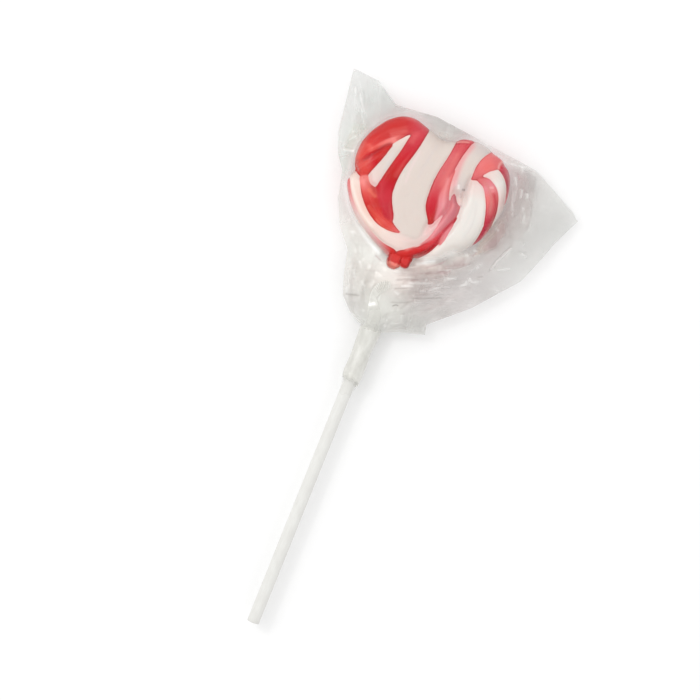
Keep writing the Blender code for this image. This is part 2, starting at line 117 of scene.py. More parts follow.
def waves(angle: np.ndarray, parts: tuple[tuple[float, float, float], ...]) -> np.ndarray:
    """Sums waves, each given by its height, its turns and its start in radians."""
    return sum(height * np.sin(turns * angle + start) for height, turns, start in parts)


def mottle(
    points: np.ndarray, gain: float, first: tuple, second: tuple, shift: float = 0.0
) -> np.ndarray:
    """An uneven pattern between -gain and gain, from two trains of waves that cross."""
    return gain * np.sin(points @ first) * np.sin(points @ second + shift)


def smooth_curve(points: tuple, steps: int, closed: bool = False) -> np.ndarray:
    """Runs a smooth curve through the given points.

    Args:
        points: The points to pass through, with any further values they carry.
        steps: How many points to make for each span.
        closed: Whether the last point leads back to the first.

    Returns:
        The points of the curve, one row each.
    """
    given = np.array(points, float)
    if closed:
        padded = np.vstack([given[-1:], given, given[:2]])
    else:
        padded = np.vstack([2 * given[0] - given[1], given, 2 * given[-1] - given[-2]])
    t = np.linspace(0.0, 1.0, steps, endpoint=False)[:, None]
    spans = []
    for before, start, end, after in zip(padded, padded[1:], padded[2:], padded[3:]):
        bend = 2 * before - 5 * start + 4 * end - after
        twist = -before + 3 * start - 3 * end + after
        spans.append(0.5 * (2 * start + (end - before) * t + bend * t**2 + twist * t**3))
    curve = np.vstack(spans)
    return curve if closed else np.vstack([curve, given[-1:]])


@dataclass
class Nearness:
    """How a set of plan points lies to a curve."""

    distance: np.ndarray
    width: np.ndarray
    along: np.ndarray
    side: np.ndarray

    @classmethod
    def to_curve(cls, plan: np.ndarray, curve: np.ndarray) -> "Nearness":
        """Measures every plan point against the nearest span of a curve.

        Args:
            plan: Points in plan, one row each.
            curve: Points of the curve, with its width as a third value where it has one.

        Returns:
            Distance, the curve's width there, the length along it, and the signed offset.
        """
        count = len(plan)
        near = cls(np.full(count, np.inf), np.ones(count), np.zeros(count), np.zeros(count))
        run_so_far = 0.0
        for start, end in zip(curve[:-1], curve[1:]):
            run = end[:2] - start[:2]
            length = max(float(np.hypot(*run)), TINY)
            offset = plan - start[:2]
            share = np.clip(offset @ run / length**2, 0.0, 1.0)
            distance = np.linalg.norm(offset - share[:, None] * run, axis=1)
            closer = distance < near.distance
            near.distance[closer] = distance[closer]
            near.along[closer] = (run_so_far + share * length)[closer]
            cross = (run[0] * offset[:, 1] - run[1] * offset[:, 0]) / length
            near.side[closer] = cross[closer]
            if len(start) > 2:
                near.width[closer] = (start[2] + share * (end[2] - start[2]))[closer]
            run_so_far += length
        return near


# ---- shader recipes


class Amount:
    """A number that varies over a surface: an output socket that takes part in sums."""

    def __init__(self, recipe: "Recipe", socket: bpy.types.NodeSocket) -> None:
        """Keeps the recipe and the socket."""
        self.recipe = recipe
        self.socket = socket

    def _join(self, operation: str, first: Number, second: Number) -> "Amount":
        """Adds the Math node of one operation."""
        node = self.recipe.node("ShaderNodeMath", {"operation": operation}, {0: first, 1: second})
        return Amount(self.recipe, node.outputs[0])

    def __add__(self, other: Number) -> "Amount":
        """Sum."""
        return self._join("ADD", self, other)

    __radd__ = __add__

    def __mul__(self, other: Number) -> "Amount":
        """Product."""
        return self._join("MULTIPLY", self, other)

    def __sub__(self, other: Number) -> "Amount":
        """Difference."""
        return self._join("SUBTRACT", self, other)

    def __rsub__(self, other: Number) -> "Amount":
        """Difference the other way round."""
        return self._join("SUBTRACT", other, self)

    def at_most(self, other: Number) -> "Amount":
        """The smaller of the two."""
        return self._join("MINIMUM", self, other)

    def at_least(self, other: Number) -> "Amount":
        """The larger of the two."""
        return self._join("MAXIMUM", self, other)

    def between(self, low: float, high: float) -> "Amount":
        """Rises smoothly from 0 at low to 1 at high.

        Args:
            low: Where the rise starts.
            high: Where it ends.

        Returns:
            The amount, 0 to 1.
        """
        node = self.recipe.node(
            "ShaderNodeMapRange",
            {"interpolation_type": "SMOOTHSTEP", "clamp": True},
            {"Value": self, "From Min": low, "From Max": high},
        )
        return Amount(self.recipe, node.outputs["Result"])


class Recipe:
    """One material's node tree, from its Principled shader outwards."""

    def __init__(self, name: str, constants: dict[str, object]) -> None:
        """Makes the material with its constant values.

        Args:
            name: The material's name.
            constants: Socket names of the Principled shader and their fixed values.
        """
        self.material = bpy.data.materials.new(name)
        self.material.use_nodes = True
        self.tree = self.material.node_tree
        self.shader = self.tree.nodes["Principled BSDF"]
        for socket, value in constants.items():
            self.shader.inputs[socket].default_value = value

    def node(self, kind: str, settings: dict[str, object], sockets: dict) -> bpy.types.Node:
        """Adds a node.

        Args:
            kind: The node's type.
            settings: Its settings, which are set first.
            sockets: Values, amounts or sockets by the name or number of the input.

        Returns:
            The node.
        """
        made = self.tree.nodes.new(kind)
        for name, value in settings.items():
            setattr(made, name, value)
        for key, value in sockets.items():
            self.feed(made.inputs[key], value)
        return made

    def feed(self, socket: bpy.types.NodeSocket, value: object) -> None:
        """Links or sets one input socket.

        Args:
            socket: The input.
            value: An amount or a socket to link, or a value to set.
        """
        if isinstance(value, Amount):
            value = value.socket
        if isinstance(value, bpy.types.NodeSocket):
            self.tree.links.new(value, socket)
        elif isinstance(value, tuple) and len(value) == 3 and socket.type == "RGBA":
            socket.default_value = (*value, 1.0)
        else:
            socket.default_value = value

    def attribute(self, name: str) -> bpy.types.Node:
        """Reads one of the mesh's own attributes."""
        return self.node("ShaderNodeAttribute", {"attribute_name": name}, {})

    def amount(self, name: str) -> Amount:
        """Reads a number attribute."""
        return Amount(self, self.attribute(name).outputs["Fac"])

    def place(self) -> bpy.types.NodeSocket:
        """Object coordinates."""
        return self.node("ShaderNodeTexCoord", {}, {}).outputs["Object"]

    def stretched(self, vector: object, scale: tuple[float, float, float]) -> bpy.types.NodeSocket:
        """Coordinates stretched by a different scale along each axis."""
        return self.node("ShaderNodeMapping", {}, {"Vector": vector, "Scale": scale}).outputs[0]

    def noise(
        self, vector: object, scale: float, detail: float = 3.0, rough: float = 0.5
    ) -> Amount:
        """Soft noise of a given scale, about 0.5."""
        sockets = {"Vector": vector, "Scale": scale, "Detail": detail, "Roughness": rough}
        return Amount(self, self.node("ShaderNodeTexNoise", {}, sockets).outputs[0])

    def mix(self, share: Number, first: object, second: object) -> bpy.types.NodeSocket:
        """Mixes two colours."""
        sockets = {0: share, 6: first, 7: second}
        return self.node("ShaderNodeMix", {"data_type": "RGBA"}, sockets).outputs[2]

    def raise_by(self, height: Amount, depth_mm: float, strength: float) -> None:
        """Feeds a height into the shader's normal.

        Args:
            height: Height, 0 to 1.
            depth_mm: Depth that a height of 1 stands for.
            strength: Share of the effect.
        """
        sockets = {"Height": height, "Distance": depth_mm * MM, "Strength": strength}
        made = self.node("ShaderNodeBump", {}, sockets)
        self.feed(self.shader.inputs["Normal"], made.outputs["Normal"])

    def finish(self, sockets: dict[str, object]) -> bpy.types.Material:
        """Feeds the shader's varying sockets and gives the material.

        Args:
            sockets: Socket names of the shader and what feeds them.

        Returns:
            The material.
        """
        for name, value in sockets.items():
            self.feed(self.shader.inputs[name], value)
        return self.material


@dataclass(frozen=True)
class StripedSugar:
    """Glossy pulled sugar: red and pale stripes with fine streaks along the pull."""

    edge_softness: float = 0.15
    edge_wander: float = 0.3
    dark_streaks: float = 1.5
    light_streaks: float = 0.9
    roughness: float = 0.26
    coat: float = 0.09
    # Veins and grain; scales are in turns a millimetre of lay, or a metre of place
    dark_vein: Colour = linear(160, 18, 28)
    light_vein: Colour = linear(238, 134, 128)
    pale_vein: Colour = linear(206, 190, 184)
    blush: Colour = linear(232, 150, 146)
    streak_scale: tuple = (1.8, 0.09, 1.0)
    broad_scale: tuple = (0.5, 0.06, 1.0)
    wander_scale: float = 900.0
    grain_scale: float = 2600.0
    relief_mm: float = 0.12
    relief_strength: float = 0.35

    def make(self) -> bpy.types.Material:
        """Builds the material from the candy's own attributes.

        Returns:
            The material.
        """
        recipe = Recipe(
            "striped sugar",
            {
                "Specular IOR Level": 0.16,
                "Coat Roughness": 0.06,
                "Coat Weight": self.coat,
                "Subsurface Weight": 0.06,
                "Subsurface Radius": (1.0, 0.45, 0.35),
                "Subsurface Scale": 0.0008,
            },
        )
        lay = recipe.attribute("lay").outputs["Vector"]
        streaks = recipe.noise(recipe.stretched(lay, self.streak_scale), 1.0, 4.0, 0.6)
        broad = recipe.noise(recipe.stretched(lay, self.broad_scale), 1.0, 2.0)
        wander = recipe.noise(recipe.place(), self.wander_scale, 2.0)
        pull = recipe.amount("pull") + (wander - 0.5) * self.edge_wander
        red_share = pull.between(-self.edge_softness, self.edge_softness)
        warm = recipe.attribute("warm").outputs["Color"]
        pale = recipe.attribute("pale").outputs["Color"]
        border = recipe.amount("border")
        rim = pull.between(0.0, 0.25) * (1.0 - pull.between(0.3, 0.9)) * border
        dark = ((streaks - 0.5).at_least(0.0) * self.dark_streaks * border + rim).at_most(1.0)
        darker = recipe.mix(dark, warm, self.dark_vein)
        light = (0.5 - broad).at_least(0.0) * self.light_streaks
        lighter = recipe.mix(light, darker, self.light_vein)
        veined = recipe.mix((streaks - 0.53).at_least(0.0) * 1.1, pale, self.pale_vein)
        bleed = pull.between(-0.8, 0.0) * 0.2
        blushed = recipe.mix(bleed, veined, self.blush)
        colour = recipe.mix(red_share, blushed, lighter)
        grain = recipe.noise(recipe.place(), self.grain_scale, 3.0)
        height = streaks * 0.7 + grain * 0.3
        recipe.raise_by(height, self.relief_mm, self.relief_strength)
        rough = self.roughness + (grain - 0.5) * 0.18 + (streaks - 0.5) * 0.12
        return recipe.finish({"Base Color": colour, "Roughness": rough})


@dataclass(frozen=True)
class ClearFilm:
    """Thin clear film, greyer where it hangs free, with painted glints whitening its creases and
    painted shade darkening its folds, with the heart's painted shadow on it.
    """

    name: str = "clear film"
    # Whitening colour: painted glints along the creases, and the white of the sealed edge.
    glint_and_seal_white: Colour = linear(250, 250, 247)
    # The painted shade's colour, along folds and in the heart's painted shadow.
    fold: Colour = linear(118, 108, 100)
    # The painted shade's pink where the heart's red bounces onto the film: painted red bounce.
    blush: Colour = linear(184, 150, 150)
    least: float = 0.008
    creased: float = 0.55
    folded: float = 0.42
    pulled_light: float = 0.34
    pulled_dark: float = 0.26
    patchy: float = 0.3
    streak_scale: tuple = (1.1, 0.11, 1.0)
    patch_scale: tuple = (0.42, 0.2, 1.0)
    cloud_scale: float = 90.0
    fine_scale: float = 1400.0

    def make(self) -> bpy.types.Material:
        """Builds the material from the film's own attributes.

        Returns:
            The material.
        """
        recipe = Recipe(
            self.name,
            {
                "Specular IOR Level": 0.9,
                "Coat Weight": 0.6,
                "Coat Roughness": 0.06,
            },
        )
        lay = recipe.attribute("lay").outputs["Vector"]
        pulled = recipe.amount("pulled")
        streaks = recipe.noise(recipe.stretched(lay, self.streak_scale), 1.0, 3.0, 0.6)
        # crease carries painted glints, the sealed edge's white and pale streaks; shade carries
        # painted shade and the heart's painted shadow, with dark streaks.
        crease = recipe.amount("crease") + streaks.between(0.54, 0.72) * pulled * self.pulled_light
        lines = 1.0 - streaks.between(0.28, 0.46)
        shade = recipe.amount("shade") + lines * pulled * self.pulled_dark
        red_bounce_share = recipe.amount("red_bounce_share")
        tint = recipe.attribute("tint").outputs["Color"]
        cloud = recipe.noise(recipe.place(), self.cloud_scale, 3.0, 0.6)
        fine = recipe.noise(recipe.place(), self.fine_scale, 3.0, 0.6)
        patches = recipe.noise(recipe.stretched(lay, self.patch_scale), 1.0, 1.0)
        flats = (patches.between(0.44, 0.5) + patches.between(0.56, 0.6)) * 0.5
        veil = recipe.amount("veil") * (cloud * 0.5 + 0.75 + (flats - 0.5) * pulled * self.patchy)
        alpha = veil + crease * self.creased + shade * self.folded + self.least
        # The painted shade turns pink with painted red bounce near the heart's lower right.
        dark = recipe.mix(red_bounce_share, self.fold, self.blush)
        shaded = recipe.mix((shade * 1.6).at_most(1.0), tint, dark)
        colour = recipe.mix((crease * 1.8).at_most(1.0), shaded, self.glint_and_seal_white)
        recipe.raise_by(fine * 0.6 + streaks * pulled * 0.4, 0.08, 0.35)
        rough = 0.16 + crease * 0.2 + (cloud - 0.5) * 0.1
        sockets = {"Base Color": colour, "Alpha": alpha.at_most(0.95), "Roughness": rough}
        return recipe.finish(sockets)


@dataclass(frozen=True)
class LayeredTape:
    """Clear tape in several milky layers."""

    name: str = "layered tape"
    colour: Colour = linear(233, 232, 226)
    shade: Colour = linear(222, 221, 214)
    # gleam: the white of stacked layers, and on the loose end the painted highlights of its ribs
    # and spots.
    gleam: Colour = linear(246, 245, 240)
    least: float = 0.76
    roughness: float = 0.32
    stretch: tuple = (1.0, 0.4, 1.0)
    cloud_scale: float = 420.0
    fine_scale: float = 2200.0

    def make(self) -> bpy.types.Material:
        """Builds the material from the tape's own attributes.

        Returns:
            The material.
        """
        recipe = Recipe(
            self.name,
            {"Specular IOR Level": 0.6, "Coat Weight": 0.4, "Coat Roughness": 0.1},
        )
        layers = recipe.amount("crease")
        stretched = recipe.stretched(recipe.place(), self.stretch)
        cloud = recipe.noise(stretched, self.cloud_scale, 3.0, 0.6)
        fine = recipe.noise(recipe.place(), self.fine_scale, 2.0)
        alpha = self.least + layers * 0.25 + (cloud - 0.5) * 0.14
        milky = recipe.mix(cloud.between(0.35, 0.7), self.shade, self.colour)
        colour = recipe.mix(layers.between(0.4, 1.0), milky, self.gleam)
        recipe.raise_by(cloud * 0.7 + fine * 0.3, 0.04, 0.25)
        rough = self.roughness + (cloud - 0.5) * 0.15
        sockets = {"Base Color": colour, "Alpha": alpha.at_most(1.0), "Roughness": rough}
        return recipe.finish(sockets)


@dataclass(frozen=True)
class RolledPaper:
    """White paper rolled into a stick, with a faint slanted seam and fibres, and a painted shade
    at its foot end.
    """

    colour: Colour = linear(229, 229, 225)
    shade: Colour = linear(223, 222, 218)
    roughness: float = 0.5
    turns_per_mm: float = 0.055
    # The seam's tone also paints the shade at the foot end.
    seam_tone: Colour = linear(200, 198, 192)
    seam_strength: float = 0.12
    stretch: tuple = (1.0, 0.15, 1.0)
    fibre_scale: float = 1800.0
    patch_scale: float = 160.0

    def make(self) -> bpy.types.Material:
        """Builds the material from the stick's own attributes.

        Returns:
            The material.
        """
        recipe = Recipe("rolled paper", {"Specular IOR Level": 0.35})
        stretched = recipe.stretched(recipe.place(), self.stretch)
        fibre = recipe.noise(stretched, self.fibre_scale, 4.0, 0.65)
        patch = recipe.noise(recipe.place(), self.patch_scale, 2.0)
        seam = recipe.amount("seam")
        uneven = (fibre * 0.65 + patch * 0.35).between(0.35, 0.7)
        colour = recipe.mix(uneven, self.shade, self.colour)
        seamed = recipe.mix(seam * self.seam_strength, colour, self.seam_tone)
        recipe.raise_by(fibre - seam * 0.4, 0.03, 0.3)
        rough = self.roughness + (fibre - 0.5) * 0.2
        return recipe.finish({"Base Color": seamed, "Roughness": rough})


@dataclass(frozen=True)
class StudioCard:
    """Matt white card for the floor."""

    colour: Colour = linear(250, 250, 250)
    tooth_tone: Colour = linear(249, 249, 249)
    tooth_scale: float = 300.0

    def make(self) -> bpy.types.Material:
        """Builds the material, with a faint tooth.

        Returns:
            The material.
        """
        recipe = Recipe("studio card", {"Specular IOR Level": 0.1, "Roughness": 0.9})
        tooth = recipe.noise(recipe.place(), self.tooth_scale, 2.0)
        colour = recipe.mix(tooth, self.tooth_tone, self.colour)
        return recipe.finish({"Base Color": colour})


# ---- modelling helpers


class Bench:
    """The few things that every piece is made with."""

    @staticmethod
    def clear_selection() -> None:
        """Leaves nothing selected and no mesh in edit mode."""
        if bpy.context.mode != "OBJECT":
            bpy.ops.object.mode_set(mode="OBJECT")
        bpy.ops.object.select_all(action="DESELECT")

    @staticmethod
    def pick(obj: bpy.types.Object) -> None:
        """Selects one object alone and makes it the active one.

        Args:
            obj: The object.
        """
        Bench.clear_selection()
        bpy.context.view_layer.objects.active = obj
        obj.select_set(True)

    @staticmethod
    def grid(name: str, columns: int, rows: int) -> bpy.types.Object:
        """Adds a flat grid that runs from -1 to 1 both ways.

        Args:
            name: The grid's name.
            columns: Cells across.
            rows: Cells along.

        Returns:
            The grid.
        """
        Bench.clear_selection()
        bpy.ops.mesh.primitive_grid_add(x_subdivisions=columns, y_subdivisions=rows, size=2.0)
        return Bench.take(name)

    @staticmethod
    def take(name: str) -> bpy.types.Object:
        """Names the primitive just added.

        Args:
            name: The name of the object and its mesh.

        Returns:
            The object.
        """
        made = bpy.context.object
        made.name = name
        made.data.name = name
        return made

    @staticmethod
    def points(obj: bpy.types.Object) -> np.ndarray:
        """Reads a mesh's points, one row each.

        Args:
            obj: The mesh object.

        Returns:
            The points, in the object's frame.
        """
        flat = np.empty(len(obj.data.vertices) * 3)
        obj.data.vertices.foreach_get("co", flat)
        return flat.reshape(-1, 3)

    @staticmethod
    def move(obj: bpy.types.Object, points: np.ndarray) -> None:
        """Moves a mesh's points."""
        obj.data.vertices.foreach_set("co", np.ascontiguousarray(points, float).ravel())
        obj.data.update()

    @staticmethod
    def to_world(points: np.ndarray) -> np.ndarray:
        """Turns heart millimetres into the lollipop's frame, in metres."""
        return (points + np.array([HEART_X, HEART_Y, 0.0])) * MM

    @staticmethod
    def to_heart(points: np.ndarray) -> np.ndarray:
        """Turns the lollipop's frame, in metres, into heart millimetres."""
        return points / MM - np.array([HEART_X, HEART_Y, 0.0])

    @staticmethod
    def note(obj: bpy.types.Object, name: str, values: np.ndarray) -> None:
        """Keeps a number, a vector or a colour for each point of a mesh.

        Args:
            obj: The mesh object.
            name: The attribute's name.
            values: One number for each point, three for a vector or four for a colour.
        """
        if values.ndim == 1:
            made = obj.data.attributes.new(name, "FLOAT", "POINT")
            made.data.foreach_set("value", values.astype(np.float32))
        elif values.shape[1] == 4:
            made = obj.data.attributes.new(name, "FLOAT_COLOR", "POINT")
            made.data.foreach_set("color", values.astype(np.float32).ravel())
        else:
            made = obj.data.attributes.new(name, "FLOAT_VECTOR", "POINT")
            made.data.foreach_set("vector", values.astype(np.float32).ravel())

    @staticmethod
    def note_colour(obj: bpy.types.Object, name: str, colours: np.ndarray) -> None:
        """Keeps an opaque colour for each point of a mesh."""
        Bench.note(obj, name, np.column_stack([colours, np.ones(len(colours))]))

    @staticmethod
    def apply(obj: bpy.types.Object, kind: str, **settings: object) -> None:
        """Adds a modifier and applies it.

        Args:
            obj: The mesh object.
            kind: The modifier's type.
            **settings: Its settings.
        """
        Bench.pick(obj)
        made = obj.modifiers.new(kind.lower(), kind)
        for name, value in settings.items():
            setattr(made, name, value)
        bpy.ops.object.modifier_apply(modifier=made.name)

    @staticmethod
    def tidy(obj: bpy.types.Object, merge_mm: float) -> None:
        """Merges points that meet, and turns all faces outwards.

        Args:
            obj: The mesh object.
            merge_mm: Points nearer than this are merged.
        """
        Bench.pick(obj)
        bpy.ops.object.mode_set(mode="EDIT")
        bpy.ops.mesh.select_all(action="SELECT")
        bpy.ops.mesh.remove_doubles(threshold=merge_mm * MM)
        bpy.ops.mesh.normals_make_consistent(inside=False)
        bpy.ops.object.mode_set(mode="OBJECT")

    @staticmethod
    def dress(
        obj: bpy.types.Object, material: bpy.types.Material, node: str, slot: str, angle: float
    ) -> None:
        """Gives a finished piece its material and its place in the lollipop.

        Args:
            obj: The finished piece.
            material: Its finish.
            node: The solid that it stands for.
            slot: The record's material slot. It is not used.
            angle: Edges sharper than this many degrees stay sharp.
        """
        obj.data.materials.clear()
        obj.data.materials.append(material)
        Bench.pick(obj)
        bpy.ops.object.transform_apply(location=True, rotation=True, scale=True)
        bpy.ops.object.shade_smooth_by_angle(angle=math.radians(angle))
        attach(obj, "root")
        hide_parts(node)
        LOG.info("%s: %d faces", obj.name, len(obj.data.polygons))


# ---- the heart


class Run(Enum):
    """The length of rope that a stripe belongs to."""

    UPPER = "upper"
    LOWER = "lower"
    RIGHT = "right"


class Sugar(Enum):
    """The sugar's colours, with a few tones that are painted light."""

    FLAME = linear(230, 92, 84)
    VERMILION = linear(219, 77, 71)
    SCARLET = linear(215, 56, 54)
    CRIMSON = linear(204, 44, 51)
    BRICK = linear(203, 55, 54)
    EMBER = linear(198, 10, 20)
    CHERRY = linear(192, 28, 40)
    POPPY = linear(212, 78, 88)
    GARNET = linear(206, 60, 71)
    CARMINE = linear(198, 54, 64)
    SHRIMP = linear(243, 143, 138)
    # GLOW is a painted highlight tone, used only in the highlight across the cap.
    GLOW = linear(238, 124, 117)
    CORAL = linear(231, 122, 122)
    BERRY = linear(219, 107, 111)
    ROSE = linear(228, 140, 147)
    PLUM = linear(202, 64, 82)
    DUSK = linear(206, 122, 130)
    SALMON = linear(229, 145, 146)
    SHELL = linear(233, 166, 166)
    PINK = linear(236, 184, 184)
    BLUSH = linear(234, 208, 203)
    PEARL = linear(214, 202, 198)
    CREAM = linear(223, 210, 202)
    MILK = linear(240, 220, 211)
    # APRICOT is a warm white with a painted orange reflection in it, for the sweep's lower left.
    APRICOT = linear(240, 205, 191)
    # IVORY is brighter than the sugar's own white: painted light on rims that turn away from the
    # lamps.
    IVORY = linear(252, 245, 239)
    WHITE = linear(235, 229, 223)

    @property
    def pale(self) -> bool:
        """Whether the colour is one of the whites or the palest pinks."""
        names = "SHELL PINK BLUSH PEARL CREAM MILK APRICOT IVORY WHITE"
        return self.name in names.split()


@dataclass(frozen=True)
class Stripe:
    """One stripe of the pulled rope.

    Its path gives x, y and width along its middle; its tones are spread evenly from end to end.
    Stripes of one strand lie in one smooth strand, with no groove between them.
    """

    strand: str
    run: Run
    tones: tuple[Sugar, ...]
    path: tuple[tuple[float, float, float], ...]

    @classmethod
    def of(cls, strand: str, run: Run, tones: str, path: tuple[float, ...]) -> "Stripe":
        """Reads a stripe whose tones are names in one string and whose path is one flat row."""
        return cls(strand, run, tuple(Sugar[name] for name in tones.split()), in_groups(path, 3))

    def tone_at(self, share: np.ndarray) -> np.ndarray:
        """The stripe's colour at a share of its length."""
        places = np.linspace(0.0, 1.0, len(self.tones))
        return read_off(share, places, np.array([tone.value for tone in self.tones]))


STRIPES = (
    Stripe.of("cap", Run.UPPER, "FLAME SCARLET BRICK BRICK POPPY", (
        -24.0, 2.6, 2.0, -22.3, 8.3, 4.6, -18.6, 13.8, 6.6, -13.6, 17.3, 6.2, -9.1, 18.1, 3.8)),
    # Painted highlight: the rope's light band across the cap, in GLOW and SHRIMP.
    Stripe.of("cap", Run.UPPER, "FLAME FLAME GLOW SHRIMP FLAME", (
        -22.6, 4.8, 0.8, -19.7, 7.8, 1.5, -16.5, 11.2, 1.9, -13.4, 14.1, 1.0)),
    Stripe.of("shade", Run.UPPER, "EMBER EMBER CRIMSON VERMILION", (
        -15.9, 9.2, 0.9, -18.8, 4.9, 3.9, -20.9, 1.7, 5.0, -21.8, 0.4, 4.6)),
    Stripe.of("slim", Run.UPPER, "MILK CREAM CREAM BLUSH", (
        -11.5, 14.4, 0.3, -13.4, 9.8, 2.9, -14.8, 4.6, 3.1, -16.1, -0.2, 3.4, -16.4, -3.0, 2.4)),
    Stripe.of("left", Run.UPPER, "POPPY GARNET CRIMSON CHERRY", (
        -8.2, 17.9, 3.8, -9.3, 12.8, 4.4, -11.0, 6.4, 4.1, -12.1, 0.4, 4.7)),
    Stripe.of("left", Run.UPPER, "CHERRY GARNET CARMINE", (
        -12.1, 0.4, 4.7, -12.1, -5.5, 5.4, -9.1, -11.1, 5.6)),
    Stripe.of("wedge", Run.LOWER, "SHRIMP VERMILION EMBER SCARLET VERMILION CORAL", (
        -19.6, -3.9, 1.4, -17.2, -6.6, 4.2, -14.0, -9.8, 5.6, -10.3, -12.8, 5.3, -6.5, -14.7, 2.6,
        -2.7, -14.9, 0.4)),
    Stripe.of("broad", Run.UPPER, "CREAM CREAM CREAM CREAM", (
        -1.6, 18.8, 9.0, -3.3, 8.1, 9.2, -4.3, 1.3, 10.9, -3.7, -5.5, 11.3, -0.5, -11.1, 9.8, 2.0,
        -14.1, 6.4)),
    Stripe.of("middle", Run.UPPER, "POPPY BERRY BERRY GARNET CHERRY", (
        5.6, 19.4, 4.6, 4.6, 12.8, 3.6, 3.3, 6.8, 3.9, 2.5, 1.3, 3.5, 3.1, -3.8, 3.8, 5.0, -8.1,
        1.3)),
    Stripe.of("middle", Run.UPPER, "CORAL CORAL ROSE ROSE", (
        6.1, 9.4, 0.9, 5.6, 5.1, 2.0, 5.9, 0.9, 3.3, 6.8, -2.6, 2.9, 6.1, -7.0, 0.4)),
    Stripe.of("top", Run.UPPER, "SHELL SHELL SHELL BLUSH", (
        8.4, 18.8, 1.7, 7.0, 13.7, 1.7, 6.9, 8.1, 1.9, 7.4, 3.0, 1.5, 7.8, 0.6, 0.4)),
    Stripe.of("top", Run.UPPER, "PEARL CREAM CREAM PEARL BLUSH", (
        11.4, 19.2, 5.0, 9.9, 14.5, 4.5, 9.6, 9.8, 4.1, 9.8, 5.5, 3.4, 11.1, 1.1, 2.5)),
    # The sweep's APRICOT tone carries a painted orange reflection.
    Stripe.of("sweep", Run.LOWER, "MILK APRICOT MILK BLUSH PINK", (
        -23.8, -3.0, 1.6, -21.0, -7.9, 2.7, -16.3, -13.2, 3.2, -9.9, -17.1, 3.6, -3.1, -17.9, 4.3,
        2.9, -15.4, 4.3, 6.4, -9.8, 2.1, 7.5, -5.5, 0.6)),
    Stripe.of("under", Run.LOWER, "CORAL SALMON PINK BLUSH BLUSH PINK SALMON SCARLET", (
        -24.5, -5.4, 0.8, -22.4, -9.2, 1.2, -19.2, -13.0, 1.5, -15.2, -16.3, 1.8, -11.0, -18.9,
        1.8, -7.0, -20.9, 1.7, -3.4, -21.6, 1.3)),
    # Painted light: IVORY brightens the lower left rim.
    Stripe.of("under", Run.LOWER, "MILK MILK IVORY IVORY IVORY", (
        -25.2, -7.6, 1.4, -22.0, -12.6, 2.0, -17.4, -16.8, 2.2, -12.0, -20.4, 2.2, -7.4, -23.2,
        2.2)),
    Stripe.of("salmon", Run.LOWER, "DUSK DUSK ROSE SALMON SHRIMP", (
        9.0, 1.6, 1.8, 10.2, -2.1, 3.5, 8.3, -8.5, 2.5, 6.3, -13.7, 1.4, 1.2, -19.4, 0.9)),
    Stripe.of("deep", Run.LOWER, "POPPY POPPY CRIMSON SCARLET", (
        12.4, -4.1, 0.5, 10.8, -7.3, 1.3, 9.3, -11.1, 1.5, 8.2, -14.5, 2.8, 5.9, -18.0, 4.0, 1.4,
        -21.6, 3.8)),
    Stripe.of("thin", Run.RIGHT, "ROSE ROSE SALMON SALMON", (
        11.8, -6.6, 0.6, 10.9, -9.8, 1.6, 10.7, -12.8, 1.8, 10.2, -16.2, 0.4)),
    # Painted light: IVORY brightens the petal's foot at the rim.
    Stripe.of("petal", Run.RIGHT, "BLUSH WHITE WHITE WHITE WHITE IVORY IVORY", (
        12.8, 8.1, 2.1, 14.5, 5.1, 5.6, 16.2, -0.4, 8.1, 16.4, -6.4, 8.6, 14.2, -12.8, 7.0, 10.0,
        -17.9, 4.4, 5.2, -21.8, 2.2)),
    Stripe.of("crescent", Run.RIGHT, "BERRY CORAL CORAL BERRY", (
        12.5, 9.4, 1.3, 13.5, 12.8, 3.8, 15.5, 16.4, 5.3, 18.7, 18.3, 2.6)),
    # Painted light: IVORY brightens the end of this stripe on the right rim.
    Stripe.of("high", Run.RIGHT, "BLUSH WHITE BLUSH WHITE IVORY", (
        15.5, 11.8, 0.7, 17.4, 12.6, 2.7, 19.5, 12.3, 3.5, 21.6, 10.6, 3.1, 23.2, 7.2, 2.3, 24.1,
        2.2, 1.5, 23.5, -6.0, 0.5)),
    Stripe.of("rose", Run.RIGHT, "BERRY ROSE CORAL BERRY PLUM", (
        14.4, 10.2, 1.1, 17.3, 9.7, 2.5, 19.9, 6.8, 3.9, 21.4, 2.6, 3.8, 22.2, -1.7, 3.0)),
    Stripe.of("rose", Run.RIGHT, "PLUM PLUM DUSK", (
        22.5, -1.3, 2.2, 22.6, -4.3, 2.9, 21.9, -7.3, 2.2, 20.8, -10.0, 0.8)),
    Stripe.of("rim", Run.RIGHT, "PLUM DUSK DUSK ROSE ROSE", (
        19.6, 16.5, 1.4, 21.5, 15.0, 2.0, 23.2, 12.6, 1.5, 24.3, 9.9, 0.9, 25.0, 6.4, 0.5)),
)


@dataclass(frozen=True)
class SugarMark:
    """A thin line in the sugar: a darker or lighter line of its own colour, a fold's edge in
    painted shade, a painted highlight or a small pit.
    """

    path: tuple[Pair, ...]
    width: float
    colour: Colour
    strength: float
    on_pale: bool

    @classmethod
    def of(cls, row: tuple[float, ...], on_pale: bool) -> "SugarMark":
        """Reads one row of a table."""
        width, strength, red, green, blue, *path = row
        return cls(in_groups(path, 2), width, linear(red, green, blue), strength, on_pale)


